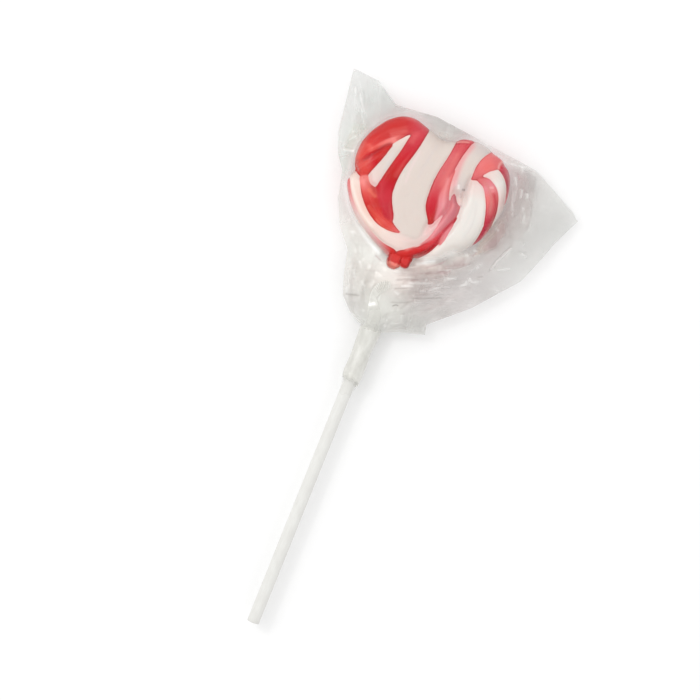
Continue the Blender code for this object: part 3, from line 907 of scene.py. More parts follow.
# Width, strength, red, green, blue, then x and y of each point
WARM_MARKS = (
    # Painted shadow that the cap's lower edge casts onto the shade strand.
    (0.5, 0.75, 166, 22, 30, -15.4, 10.6, -17.8, 8.3, -20.0, 5.0, -22.6, 1.2),
    (0.4, 0.5, 186, 40, 46, -10.9, 15.6, -13.4, 13.9, -15.2, 11.6),
    (0.9, 0.5, 212, 58, 54, -13.6, 18.8, -17.8, 16.4, -21.2, 11.4),
    (0.9, 0.5, 240, 112, 100, -22.8, 7.6, -20.6, 5.4),
    (0.7, 0.3, 222, 80, 58, -20.4, 2.6, -21.6, -0.2),
    (0.5, 0.5, 186, 30, 46, -10.6, 2.6, -9.8, -3.0, -8.0, -8.0),
    # Painted shade in the wedge's fold, then a painted highlight on its lit side below.
    (0.35, 0.55, 186, 62, 58, -17.2, -4.8, -14.8, -5.6, -13.0, -6.6),
    (0.5, 0.5, 240, 132, 108, -17.6, -5.8, -15.6, -6.9, -13.8, -7.6),
    (0.4, 0.5, 238, 128, 108, -12.0, -13.6, -8.4, -15.6, -4.4, -15.8),
    (0.9, 0.6, 188, 48, 60, 0.9, 18.4, 2.8, 20.4, 6.4, 21.0),
    (0.28, 0.7, 244, 168, 158, 2.4, 18.2, 5.0, 19.2, 7.4, 20.0),
    (0.3, 0.5, 180, 44, 58, 2.6, 17.6, 5.2, 18.7, 6.8, 19.3),
    (0.5, 0.4, 188, 38, 48, 1.0, 6.8, 0.6, 1.4, 1.4, -3.0, 3.4, -7.0),
    (0.75, 0.75, 196, 54, 66, 19.6, 8.2, 21.9, 4.8, 23.1, 0.4, 22.9, -3.4),
    (0.5, 0.5, 206, 128, 122, 14.8, 10.0, 18.0, 8.6, 20.4, 4.6, 21.6, 0.0),
    (0.35, 0.6, 170, 36, 66, 21.9, -3.0, 21.6, -6.4),
    (0.3, 0.5, 238, 176, 180, 22.8, -4.0, 22.2, -7.4),
    # Painted highlight: a pink line of light between the crescent and the rim.
    (0.4, 0.75, 244, 178, 172, 19.3, 18.8, 18.5, 16.8, 18.8, 15.0),
    (0.45, 0.6, 240, 176, 178, 19.6, 18.6, 22.4, 16.4, 24.4, 12.6),
    (0.42, 0.6, 168, 40, 62, 19.4, 15.6, 21.6, 14.2, 23.4, 11.4, 24.6, 7.0),
    # Painted glint on the rose stripe.
    (0.26, 0.75, 250, 204, 200, 18.1, 8.6, 19.5, 9.2),
    (0.5, 0.5, 204, 72, 82, 12.6, 19.6, 12.0, 15.0, 12.2, 11.0),
    (0.35, 0.5, 196, 66, 70, 12.9, 9.4, 14.8, 10.8, 16.2, 11.9),
    (0.35, 0.5, 160, 30, 50, 11.9, -4.4, 10.6, -7.6, 9.6, -10.2),
    # Painted highlight along the cap's glow.
    (1.3, 0.35, 232, 120, 114, -17.4, 12.0, -15.0, 14.2, -12.2, 16.0),
    (1.2, 0.5, 200, 44, 46, -22.6, 10.6, -18.4, 16.6, -12.0, 19.2),
    # Painted highlight on the cap's outer left edge.
    (0.7, 0.3, 236, 100, 90, -23.8, 1.6, -24.3, 4.4, -23.6, 8.4),
    (1.0, 0.45, 224, 100, 102, -9.4, 17.0, -10.2, 11.8),
    (0.9, 0.45, 194, 32, 46, -13.6, -2.8, -12.8, -6.6),
    (0.9, 0.45, 190, 44, 58, -10.4, -7.4, -7.4, -12.2),
    (0.8, 0.45, 230, 122, 118, 5.0, 16.0, 4.2, 9.0, 3.6, 2.0),
    (0.6, 0.4, 240, 168, 168, 4.8, 7.4, 5.8, 1.0, 7.4, -4.0),
    (0.5, 0.4, 238, 160, 160, 9.8, 0.6, 8.6, -6.0, 7.0, -11.4),
    (1.2, 0.5, 234, 112, 106, 14.6, 13.0, 16.4, 16.6),
    (0.7, 0.4, 236, 150, 152, 20.0, 7.6, 18.4, 9.4),
    (0.8, 0.4, 232, 108, 90, -16.0, -10.6, -11.6, -13.2, -8.0, -14.4),
)
PALE_MARKS = (
    (0.3, 0.75, 132, 120, 120, 10.2, 4.8, 11.3, 5.1),
    (0.35, 0.6, 252, 244, 242, 8.7, 6.0, 9.3, 4.4),
    (0.35, 0.6, 238, 184, 190, 7.6, 7.0, 8.1, 5.0),
    # Painted shade down the middle of the top white stripe.
    (0.7, 0.15, 206, 198, 196, 10.2, 16.8, 9.2, 11.4, 9.2, 7.4),
    (0.8, 0.5, 224, 221, 217, 15.4, 4.0, 17.4, -3.0, 16.0, -10.0),
    (0.7, 0.4, 218, 208, 200, -0.6, 12.0, -1.8, 3.0, -0.4, -6.0),
    (0.5, 0.5, 222, 214, 212, -14.0, 8.0, -15.0, 1.0),
    (0.22, 0.45, 168, 152, 150, 10.3, 3.6, 11.0, 2.9, 10.6, 2.2),
    (0.32, 0.5, 168, 120, 132, 11.8, 0.4, 12.1, -0.5),
    (0.5, 0.35, 214, 204, 202, -2.0, 16.0, -3.4, 8.0, -4.0, 2.0),
    (0.4, 0.4, 238, 214, 214, -6.4, 12.0, -7.2, 5.0, -7.0, -1.0),
    (0.5, 0.4, 222, 220, 216, 14.2, 5.0, 15.6, -1.0, 15.2, -8.0),
    # Painted highlight along the sweep's ridge.
    (0.6, 0.7, 255, 240, 230, -24.4, -3.6, -21.4, -8.4, -16.6, -13.6, -10.2, -17.5),
)
MARKS = tuple(
    SugarMark.of(row, on_pale)
    for rows, on_pale in ((WARM_MARKS, False), (PALE_MARKS, True))
    for row in rows
)


@dataclass
class HeartForm:
    """The plain form of the heart: its edge, its rounding and its crowned front."""

    back: float = 5.4
    front: float = 5.4
    crown: float = 0.8
    rounding: float = 6.4
    edge: tuple[Pair, ...] = (
        (-1.2, 17.6), (-6.3, 19.4), (-10.3, 20.6), (-14.6, 20.5), (-19.0, 18.0), (-22.5, 13.5),
        (-24.7, 8.6), (-25.2, 3.4), (-24.3, -1.9), (-24.6, -6.0), (-22.4, -10.2),
        (-19.7, -13.5), (-16.3, -16.8), (-12.0, -19.7), (-7.8, -21.9), (-3.4, -23.4),
        (0.8, -23.2), (4.4, -21.5), (8.4, -19.9), (12.4, -17.5), (16.6, -13.9), (20.0, -10.5),
        (22.4, -6.2), (24.2, -0.6), (25.1, 5.0), (24.8, 10.2), (23.0, 15.0), (20.0, 18.0),
        (16.4, 19.7), (12.6, 20.9), (8.6, 21.3), (5.0, 20.4), (2.2, 18.6),
    )

    def edge_radius(self, angle: np.ndarray) -> np.ndarray:
        """Distance of the edge from the middle, in the given directions.

        Args:
            angle: Directions in radians, anticlockwise from +X.

        Returns:
            The distance for each.
        """
        outline = smooth_curve(self.edge, EDGE_STEPS, closed=True)
        around = np.arctan2(outline[:, 1], outline[:, 0])
        order = np.argsort(around)
        radii = np.hypot(outline[order, 0], outline[order, 1])
        return np.interp(angle, around[order], radii, period=math.tau)

    def beyond(self, plan: np.ndarray) -> np.ndarray:
        """How far each plan point lies outside the edge, measured from the middle."""
        angle = np.arctan2(plan[:, 1], plan[:, 0])
        return np.hypot(plan[:, 0], plan[:, 1]) - self.edge_radius(angle)

    def half_height(self, plan: np.ndarray, face_height: float, grown: float) -> np.ndarray:
        """Height of the form over its mid-plane, grown all round by a skin.

        Args:
            plan: Points in plan.
            face_height: Height of the face that is asked for.
            grown: Thickness of the skin.

        Returns:
            The height for each point, and 0 outside the skin.
        """
        inset = grown - self.beyond(plan)
        share = np.clip(1 - inset / (self.rounding + grown), 0.0, 1.0)
        height = (face_height + grown) * np.sqrt(1 - share**2)
        return np.where(inset > 0, height, 0.0)


@dataclass
class SugarHeart:
    """The candy: one pulled rope pressed into a heart, pinched round the stick at its tip."""

    form: HeartForm = field(default_factory=HeartForm)
    segments: int = 420
    rings: int = 190
    # Grooves and creases
    stripe_groove: float = 0.32
    stripe_groove_half_width: float = 0.5
    stripe_swell: float = 0.14
    rope_crease: float = 1.25
    rope_crease_half_width: float = 0.95
    back_relief: float = 0.6
    melt_lines: tuple = (
        ((-12.0, -7.5), (-8.5, -12.5), (-2.5, -15.0), (2.0, -13.0)),
        ((13.4, 22.0), (12.0, 17.0), (11.8, 12.6)),
    )
    melt_width: float = 2.8
    # The pinch, and the two knobs at the tip
    pinch_place: Pair = (10.9, 2.6)
    pinch_depth: float = 1.7
    pinch_width: float = 1.9
    knobs: tuple = (((-1.1, -23.1, 0.0), (2.5, 3.7, 3.5)), ((2.2, -22.2, 0.3), (1.9, 3.0, 3.1)))
    knob_blockiness: float = 0.7
    knob_subdivisions: int = 5
    knob_dents: float = 0.05
    swell_reach: float = 3.0
    ripple_height: float = 0.05
    # Tones
    pale_softness: float = 2.2
    stripe_offset: float = 7.3
    border_least: float = 0.04
    border_gain: float = 0.66
    border_greens: Pair = (0.06, 0.24)
    mark_rise: Pair = (0.0, 0.12)
    mark_fall: Pair = (0.85, 1.0)
    crumb_height: float = 0.15
    grit: float = 0.18
    knob_grain: float = 0.16
    knobs_from: Pair = (21.6, 22.8)
    foot_from: Pair = (24.3, 24.9)
    foot_side: Pair = (-1.7, -1.0)
    sharp_angle: float = 60.0
    tone_softness: float = 0.3
    sheen: float = 0.02
    darkest: float = 0.004
    knob_tone: Colour = linear(215, 66, 64)
    foot_tone: Colour = linear(253, 152, 138)
    finish: StripedSugar = field(default_factory=StripedSugar)

    def measure(self, plan: np.ndarray) -> tuple[np.ndarray, list[Nearness]]:
        """Measures every stripe against the plan points.

        Args:
            plan: Points in plan.

        Returns:
            How far each point lies outside each stripe, and the nearness it came from.
        """
        curves = [smooth_curve(stripe.path, STRIPE_STEPS) for stripe in STRIPES]
        nearness = [Nearness.to_curve(plan, curve) for curve in curves]
        outside = np.array([near.distance - near.width / 2 for near in nearness])
        return outside, nearness

    @staticmethod
    def nearest_in(outside: np.ndarray, groups: list[object]) -> np.ndarray:
        """How far each point lies outside each group of stripes, one row for a group."""
        kinds = dict.fromkeys(groups)
        return np.array([outside[[own == kind for own in groups]].min(axis=0) for kind in kinds])

    @staticmethod
    def valley(groups: np.ndarray, half_width: float) -> np.ndarray:
        """1 where the two nearest groups of stripes are equally near, 0 away from there."""
        nearest, second = np.sort(groups, axis=0)[:2]
        return bump((second - nearest) / 2 / half_width)

    def relief_depth(self, plan: np.ndarray) -> np.ndarray:
        """Depth of grooves, creases and the pinch under the plain form.

        Args:
            plan: Points in plan.

        Returns:
            The depth for each point.
        """
        outside, _ = self.measure(plan)
        of_strand = self.nearest_in(outside, [stripe.strand for stripe in STRIPES])
        of_run = self.nearest_in(outside, [stripe.run for stripe in STRIPES])
        groove = self.stripe_groove * self.valley(of_strand, self.stripe_groove_half_width)
        crease = self.rope_crease * self.valley(of_run, self.rope_crease_half_width)
        for line in self.melt_lines:
            melt = Nearness.to_curve(plan, smooth_curve(line, STRIPE_STEPS)).distance
            crease *= 1 - bump(melt / self.melt_width)
        pinch = np.linalg.norm(plan - self.pinch_place, axis=1) / self.pinch_width
        swell = self.stripe_swell * np.clip(-of_strand.min(axis=0) / self.swell_reach, 0.0, 1.0)
        ripple = mottle(plan, self.ripple_height, (0.9, 0.35), (-0.3, 0.7), 1.0)
        return np.maximum(groove, crease) + self.pinch_depth * bump(pinch) - swell + ripple

    def reshape(self, unit: np.ndarray) -> np.ndarray:
        """Turns the points of a unit sphere into the heart, in the lollipop's frame.

        Args:
            unit: Points of the sphere.

        Returns:
            Points of the heart, in metres.
        """
        angle = np.arctan2(unit[:, 1], unit[:, 0])
        level = np.arcsin(np.clip(np.abs(unit[:, 2]), 0.0, 1.0)) / (math.pi / 2)
        radius = self.form.edge_radius(angle)
        rounding = self.form.rounding
        quarter = rounding * math.pi / 2
        arc = level * (quarter + radius - rounding)
        turn = np.minimum(arc / rounding, math.pi / 2)
        reach = radius - rounding * (1 - np.cos(turn)) - np.maximum(arc - quarter, 0.0)
        front = unit[:, 2] > 0
        crown = np.where(front, self.form.crown * (1 - (reach / radius) ** 2), 0.0)
        face = np.where(front, self.form.front, self.form.back)
        outward = np.column_stack([np.cos(angle), np.sin(angle)])
        plan = outward * reach[:, None]
        push = -self.relief_depth(plan) * np.where(front, 1.0, self.back_relief)
        plan = plan + outward * (push * np.cos(turn))[:, None]
        side = np.where(front, 1.0, -1.0)
        height = MID_Z + side * ((face + crown + push) * np.sin(turn))
        return Bench.to_world(np.column_stack([plan, height]))

    def add_knob(self, heart: bpy.types.Object, middle: tuple, half_sizes: tuple) -> None:
        """Joins one rounded block to the tip.

        Args:
            heart: The heart's object.
            middle: The block's middle, in heart millimetres from the mid-plane.
            half_sizes: Its half sizes.
        """
        Bench.clear_selection()
        bpy.ops.mesh.primitive_ico_sphere_add(subdivisions=self.knob_subdivisions, radius=1.0)
        knob = Bench.take("knob")
        unit = Bench.points(knob)
        blocky = np.sign(unit) * np.abs(unit) ** self.knob_blockiness
        dents = mottle(unit, self.knob_dents, (5.0, 3.0, 2.0), (-2.0, 4.0, 5.0))
        shaped = blocky * (1 + dents[:, None]) * np.array(half_sizes) + np.array(middle)
        Bench.move(knob, Bench.to_world(shaped + np.array([0.0, 0.0, MID_Z])))
        Bench.apply(heart, "BOOLEAN", operation="UNION", object=knob, solver="MANIFOLD")
        bpy.data.objects.remove(knob, do_unlink=True)

    def colour(self, heart: bpy.types.Object) -> None:
        """Notes each point's tones, its stripe's edge and the lay of the pull.

        Args:
            heart: The candy's object.
        """
        points = Bench.to_heart(Bench.points(heart))
        plan = points[:, :2]
        outside, nearness = self.measure(plan)
        pale = np.array([stripe.tones[0].pale for stripe in STRIPES])
        tones = np.array([
            stripe.tone_at(near.along / near.along.max())
            for stripe, near in zip(STRIPES, nearness)
        ])
        tones = np.maximum(tones - self.sheen, self.darkest)
        for name, chosen, soft in (("warm", ~pale, 1.0), ("pale", pale, self.pale_softness)):
            mine = outside[chosen]
            weight = np.exp(-(mine - mine.min(axis=0)) / (self.tone_softness * soft))
            blend = (tones[chosen] * weight[:, :, None]).sum(axis=0) / weight.sum(axis=0)[:, None]
            blend = self.draw_marks(plan, blend, name == "pale")
            if name == "warm":
                blend = self.tone_knobs(points, blend)
                redness = 1 - ramp(blend[:, 1], *self.border_greens)
                Bench.note(heart, "border", self.border_least + self.border_gain * redness)
            Bench.note_colour(heart, name, blend)
        Bench.note(heart, "pull", outside[pale].min(axis=0) - outside[~pale].min(axis=0))
        owner = outside.argmin(axis=0)
        rows = np.arange(len(owner))
        side = np.array([near.side for near in nearness])[owner, rows]
        along = np.array([near.along for near in nearness])[owner, rows]
        Bench.note(heart, "lay", np.column_stack([side, along, owner * self.stripe_offset]))

    def tone_knobs(self, points: np.ndarray, blend: np.ndarray) -> np.ndarray:
        """Reddens the two knobs, and lightens the broken end of the left one.

        Args:
            points: The candy's points.
            blend: Their red tones so far.

        Returns:
            The tones with the knobs' own.
        """
        knob = ramp(-points[:, 1], *self.knobs_from)[:, None]
        blend = blend + knob * (np.array(self.knob_tone) - self.sheen - blend).clip(-1, 1)
        crumb = mottle(points, self.crumb_height, (4.1, 2.0, 1.0), (-1.5, 3.7, 2.0))
        foot = ramp(-points[:, 1] + crumb, *self.foot_from) * ramp(-points[:, 0], *self.foot_side)
        grain = mottle(points, 1.0, (9.1, 3.3, 5.0), (-4.0, 8.3, 3.1))
        foot *= 1 - self.grit + self.grit * np.sign(grain) * np.abs(grain) ** 0.5
        blend = blend * (1 + self.knob_grain * knob * grain[:, None])
        return np.maximum(blend + foot[:, None] * (np.array(self.foot_tone) - blend), self.darkest)

    def draw_marks(self, plan: np.ndarray, blend: np.ndarray, on_pale: bool) -> np.ndarray:
        """Draws the thin lines of one kind of sugar, painted highlights and painted shade among
        them, into its colour.

        Args:
            plan: Points in plan.
            blend: Their tones so far.
            on_pale: Whether to draw the lines of the pale sugar.

        Returns:
            The tones with the lines.
        """
        for mark in MARKS:
            if mark.on_pale != on_pale:
                continue
            curve = smooth_curve(mark.path, STRIPE_STEPS)
            near = Nearness.to_curve(plan, curve)
            share = near.along / near.along.max()
            ends = faded(share, self.mark_rise, self.mark_fall)
            weight = mark.strength * ends * bump(near.distance / mark.width)
            blend = blend + weight[:, None] * (np.array(mark.colour) - blend)
        return blend

    def build(self) -> None:
        """Makes, colours and dresses the candy."""
        Bench.clear_selection()
        bpy.ops.mesh.primitive_uv_sphere_add(
            segments=self.segments, ring_count=self.rings, radius=1.0
        )
        heart = Bench.take("sugar_heart")
        Bench.move(heart, self.reshape(Bench.points(heart)))
        Bench.apply(heart, "TRIANGULATE")
        for middle, half_sizes in self.knobs:
            self.add_knob(heart, middle, half_sizes)
        self.colour(heart)
        Bench.dress(heart, self.finish.make(), "candy_heart", "candy", self.sharp_angle)


# ---- the film bag


@dataclass(frozen=True)
class Crease:
    """A fold line in the film, in heart millimetres.

    Its tone is a painted glint that whitens the film where it is over 0, and painted shade where
    it is under 0.
    """

    path: tuple[Pair, ...]
    height: float
    width: float
    tone: float

    @classmethod
    def of(cls, row: tuple[float, ...]) -> "Crease":
        """Reads one row of a table."""
        height, width, tone, *path = row
        return cls(in_groups(path, 2), height, width, tone)


# Glint creases whiten the film with painted glints, and those of height 0 only paint light on it;
# shaded creases paint shade along the film's folds; SHADOWS paint the heart's shadow on the film.
# Height, width, tone, then x and y of each point
GLINT_CREASES = (
    (0.21, 0.6, 0.27, 3.5, -30.9, 8.0, -29.1),
    (0.24, 0.69, 0.27, 5.0, -29.3, 9.5, -27.5, 13.8, -25.6),
    (0.24, 0.53, 0.38, 12.0, -28.9, 15.5, -26.5),
    (0.17, 0.6, 0.21, 14.0, -28.7, 17.2, -27.4),
    (0.14, 0.52, 0.25, 9.9, -29.9, 12.0, -29.0),
    (0.14, 0.69, 0.25, 10.2, -26.2, 11.0, -25.5),
    (0.21, 0.69, 0.19, 15.4, -24.4, 20.2, -21.2),
    (0.14, 0.52, 0.19, 16.4, -23.0, 19.0, -22.0),
    (0.28, 0.86, 0.31, 21.3, -23.8, 22.6, -22.4, 22.9, -20.8),
    (0.28, 0.86, 0.31, 22.9, -20.0, 24.6, -20.9, 27.0, -19.5),
    (0.21, 0.86, 0.19, 22.6, -19.0, 22.9, -16.6),
    (0.24, 0.6, 0.41, 30.0, -14.8, 32.4, -13.4, 34.5, -12.2),
    (0.35, 1.03, 0.25, 28.2, -16.2, 29.2, -12.6, 31.5, -7.5, 32.8, -5.0),
    (0.21, 0.69, 0.27, 24.0, -16.8, 24.8, -14.8),
    (0.21, 0.86, 0.31, 20.4, -11.2, 22.0, -11.7),
    (0.21, 0.86, 0.31, 18.8, -14.1, 20.2, -13.6),
    (0.14, 0.52, 0.19, 21.6, -13.4, 23.8, -11.9),
    (0.14, 0.86, 0.15, 33.8, 8.4, 34.9, 3.0, 34.6, -1.0),
    (0.21, 0.86, 0.12, 25.4, 11.0, 26.6, 7.0, 28.6, 4.0),
    (0.21, 0.86, 0.21, 24.6, 15.4, 26.2, 12.2),
    (0.24, 0.66, 0.35, 28.1, 12.4, 28.9, 9.2),
    (0.24, 0.79, 0.35, 30.0, 11.9, 31.0, 10.0),
    (0.21, 1.03, 0.27, 25.2, 19.2, 26.6, 17.4),
    (0.21, 0.86, 0.27, 26.0, 19.4, 28.8, 19.7),
    (0.21, 0.86, 0.19, 18.7, 17.1, 22.0, 18.6, 27.0, 19.2),
    (0.21, 0.69, 0.15, 24.0, -2.0, 26.4, -3.0),
    (0.21, 0.86, 0.27, 35.0, -7.0, 36.8, -6.7, 38.2, -7.4),
    (0.21, 0.69, 0.31, 35.0, -3.7, 35.5, -3.4),
    (0.21, 0.53, 0.38, 42.0, -3.5, 42.6, -3.0),
    (0.14, 0.46, 0.35, 27.9, 3.9, 28.3, 3.6),
    (0.17, 0.86, 0.19, 38.6, 14.0, 40.6, 13.6, 42.4, 12.4),
    (0.14, 0.69, 0.25, 32.0, -20.9, 34.0, -19.9),
    (0.14, 0.69, 0.19, 25.6, -27.9, 27.6, -27.0),
    (0.12, 0.78, 0.27, -12.3, -30.8, -10.9, -34.0),
    (0.1, 0.86, 0.2, -8.9, -33.6, -7.6, -34.7, -6.4, -35.0),
    (0.14, 0.79, 0.3, -12.2, -36.8, -11.4, -39.2),
    (0.08, 0.86, 0.14, -12.9, -27.4, -11.2, -28.6, -9.9, -30.6),
    (0.21, 0.53, 0.44, 3.4, -42.4, 3.9, -42.3),
    (0.21, 0.86, 0.31, 3.2, -44.0, 4.4, -44.4),
    (0.14, 0.69, 0.21, 2.2, -32.8, 4.4, -33.6),
    (0.21, 0.86, 0.21, -33.4, 23.0, -32.6, 20.6),
    (0.21, 0.86, 0.09, -33.0, 26.0, -31.0, 21.6, -29.4, 16.8),
    (0.32, 1.03, 0.19, -30.4, 21.0, -29.0, 17.8, -27.2, 15.2),
    (0.21, 1.03, 0.08, -27.2, 15.2, -25.6, 11.8),
    (0.28, 1.03, 0.21, -28.6, 24.4, -27.2, 26.0, -26.4, 26.6),
    (0.21, 1.21, 0.05, -28.6, 24.4, -25.6, 18.6, -24.0, 16.0),
    (0.28, 0.78, 0.31, -29.6, 2.9, -27.6, 3.3, -25.8, 3.6),
    (0.21, 0.69, 0.19, -31.2, 5.8, -30.1, 3.4),
    (0.07, 0.52, 0.21, -8.6, 4.4, -8.9, 2.6),
    (0.14, 0.86, 0.09, -3.0, 24.0, 2.0, 22.8),
    (0.07, 0.6, 0.08, 5.6, -1.0, 9.8, -6.6),
    (0.0, 0.6, 0.4, -25.4, -6.6, -20.8, -13.8, -14.0, -19.6, -6.6, -23.6),
    (0.0, 0.6, 0.3, 10.6, -19.6, 6.0, -22.4),
    (0.0, 1.5, 0.4, 15.0, -14.6, 11.8, -17.4, 8.0, -19.6),
    (0.0, 0.9, 0.22, -15.0, -18.4, -11.0, -21.0, -7.0, -22.8),
    (0.0, 0.75, 0.3, -16.0, 20.8, -20.6, 17.6, -23.8, 13.0, -25.8, 7.6, -26.1, 3.0, -25.3, -2.2),
    (0.0, 0.5, 0.16, -33.4, 22.5, -31.6, 19.0, -29.7, 15.8),
    (0.0, 0.4, 0.18, -31.0, 21.6, -28.6, 17.8, -27.0, 16.0),
    (0.0, 0.3, 0.12, -25.4, 24.0, -22.4, 17.2),
    (0.0, 0.35, 0.2, 24.6, 14.8, 26.0, 12.4, 27.2, 8.0),
    (0.0, 0.4, 0.16, 23.8, 15.6, 25.8, 10.4, 27.4, 4.6),
    (0.0, 0.35, 0.2, 19.4, 17.8, 23.0, 18.9, 26.2, 19.2),
    (0.0, 0.5, 0.2, 12.0, 22.2, 18.0, 20.8),
)
SHADED_CREASES = (
    (-0.3, 0.5, -0.4, 8.4, -22.8, 10.6, -21.2, 12.9, -19.3, 15.0, -17.2),
    (-0.2, 0.4, -0.55, 12.2, -19.8, 13.6, -18.6),
    (-0.3, 1.3, -0.26, 14.0, -20.4, 18.0, -18.2, 20.4, -16.4),
    (-0.3, 1.5, -0.2, 16.0, -18.2, 19.8, -15.2),
    (-0.2, 0.8, -0.25, 19.2, -17.4, 22.6, -15.4),
    (-0.25, 0.9, -0.28, 9.0, -24.4, 13.4, -22.2, 17.6, -21.4),
    (-0.25, 0.7, -0.2, 7.8, -25.0, 11.6, -22.8),
    (-0.2, 0.8, -0.25, 13.4, -22.4, 17.4, -20.2),
    (-0.25, 0.6, -0.28, 5.2, -28.3, 10.0, -25.9, 16.0, -23.2),
    (-0.25, 0.6, -0.2, 1.0, -29.8, 5.0, -28.0, 9.0, -26.4),
    (-0.2, 0.35, -0.3, 2.0, -32.3, 6.0, -30.6),
    (-0.3, 0.45, -0.45, 7.5, -33.4, 13.5, -30.9, 19.0, -28.5),
    (-0.25, 0.4, -0.25, 1.8, -37.0, 7.0, -35.0, 10.4, -32.8),
    (-0.2, 0.35, -0.5, 3.5, -37.7, 4.6, -36.8, 5.8, -36.8),
    (-0.15, 0.4, -0.3, 6.8, -39.1, 8.6, -38.2),
    (-0.2, 0.3, -0.35, 10.0, -29.0, 13.2, -27.2),
    (-0.2, 0.35, -0.3, 14.2, -29.7, 20.5, -27.0),
    (-0.2, 0.4, -0.2, 16.8, -26.0, 21.0, -24.8),
    (-0.2, 0.4, -0.4, 25.2, -18.9, 27.2, -18.0),
    (-0.2, 0.35, -0.5, 28.6, -15.0, 29.5, -13.2),
    (-0.3, 0.6, -0.4, 28.0, -17.0, 28.8, -12.4, 30.6, -8.0, 32.2, -4.4),
    (-0.2, 0.4, -0.4, 21.2, -13.6, 22.2, -11.6),
    (-0.2, 0.3, -0.5, 18.4, -12.4, 20.4, -10.0),
    (0.6, 0.7, -0.35, 30.4, 11.6, 33.2, 8.0, 34.2, 3.0, 34.0, -1.0),
    (-0.2, 0.4, -0.4, 24.9, 12.5, 26.2, 8.4, 27.4, 5.0),
    (-0.2, 0.3, -0.35, 28.9, 12.4, 29.2, 9.0),
    (-0.2, 0.5, -0.4, 24.4, 16.8, 25.4, 15.8, 26.4, 14.2),
    (-0.2, 0.4, -0.3, 28.0, 12.8, 30.6, 11.8),
    (-0.2, 0.4, -0.2, 26.2, 4.0, 27.8, 0.4),
    (-0.2, 0.4, -0.3, 34.0, -6.6, 37.6, -5.4),
    (-0.35, 0.5, -0.4, -12.2, -39.8, -9.6, -38.9, -6.8, -38.3),
    (-0.2, 0.6, -0.12, -9.4, -30.4, -3.8, -28.8),
    (-0.3, 0.4, -0.35, -7.6, -24.6, -4.6, -25.8),
    (0.3, 0.5, -0.25, -33.4, 6.4, -31.2, 2.4, -28.6, -0.8),
    (0.1, 0.3, -0.4, -30.8, 5.2, -30.2, 3.2),
    (-0.2, 0.4, -0.35, -29.4, 3.9, -28.0, 4.0),
    (-0.2, 0.4, -0.4, 27.6, 18.9, 29.4, 18.8),
    (-0.05, 0.25, -0.2, -3.8, 8.0, -4.3, 6.0),
)
SHADOWS = (
    (0.0, 3.0, -0.3, 26.6, 14.6, 28.8, 7.0, 28.6, -1.0, 26.2, -7.4),
    (0.0, 2.0, -0.2, 26.4, -7.4, 22.4, -13.6, 18.6, -18.0, 14.0, -22.4),
    (0.0, 1.3, -0.22, 26.8, -1.6, 26.4, -6.4, 24.2, -9.4),
    (0.0, 2.2, -0.2, 27.0, 16.2, 31.6, 13.4),
    (0.0, 1.3, -0.3, -9.0, 23.4, 0.0, 23.6, 9.0, 22.8),
    (0.0, 2.6, -0.08, 8.0, -25.6, 15.0, -23.2),
)
CREASES = tuple(Crease.of(row) for row in (*GLINT_CREASES, *SHADED_CREASES, *SHADOWS))


@dataclass(frozen=True)
class FilmZone:
    """A stretch of the bag with its tint and milkiness; some zones paint shade on the film and
    some paint light.
    """

    middle: Pair
    reach: Pair
    tint: Colour
    milk: float

    @classmethod
    def of(cls, row: tuple[float, ...]) -> "FilmZone":
        """Reads one row of the table."""
        return cls(row[0:2], row[2:4], linear(*row[4:7]), row[7])

    def share(self, plan: np.ndarray) -> np.ndarray:
        """How much of the zone's character each plan point has, 0 to 1."""
        return bump(oval(plan, self.middle, self.reach))


@dataclass(frozen=True)
class FilmFacet:
    """A flat stretch of the bag between straight folds, with a tint and milkiness; some facets
    paint shade on the film.

    Its corners run anticlockwise and make a convex shape.
    """

    corners: tuple[Pair, ...]
    tint: Colour
    milk: float
    soft: float = 0.35

    def share(self, plan: np.ndarray) -> np.ndarray:
        """How much of the facet's character each plan point has, 0 to 1.

        Args:
            plan: Points in plan.

        Returns:
            The share for each point.
        """
        corners = np.array(self.corners)
        inside = np.full(len(plan), np.inf)
        for start, end in zip(corners, np.roll(corners, -1, axis=0)):
            run = (end - start) / np.linalg.norm(end - start)
            inside = np.minimum(inside, (plan - start) @ (-run[1], run[0]))
        return ramp(inside, -self.soft, self.soft)


# The first two facets are painted shade where the film is tented beside the heart's right lobe.
FILM_FACETS = (
    FilmFacet((
        (22.0, -4.0), (34.0, -3.0), (34.1, 1.0), (33.7, 7.0), (32.4, 13.0), (31.0, 17.8),
        (26.0, 19.0), (20.0, 16.0)), linear(186, 177, 171), 0.06, 0.3),
    FilmFacet((
        (28.2, 12.8), (32.2, 13.4), (31.4, 17.6), (26.9, 18.8)), linear(176, 176, 174), 0.08),
    FilmFacet((
        (22.0, -13.0), (27.4, -8.0), (28.2, -2.6), (26.0, 1.0), (22.0, 0.0)),
        linear(210, 192, 172), 0.15, 0.5),
    FilmFacet((
        (-29.5, 3.2), (-25.0, 3.4), (-24.6, 13.0), (-29.6, 12.2)), linear(210, 222, 203), 0.08),
    FilmFacet((
        (-22.4, 16.6), (-17.0, 20.4), (-15.4, 23.4), (-25.8, 26.4)), linear(196, 199, 195), 0.1),
)
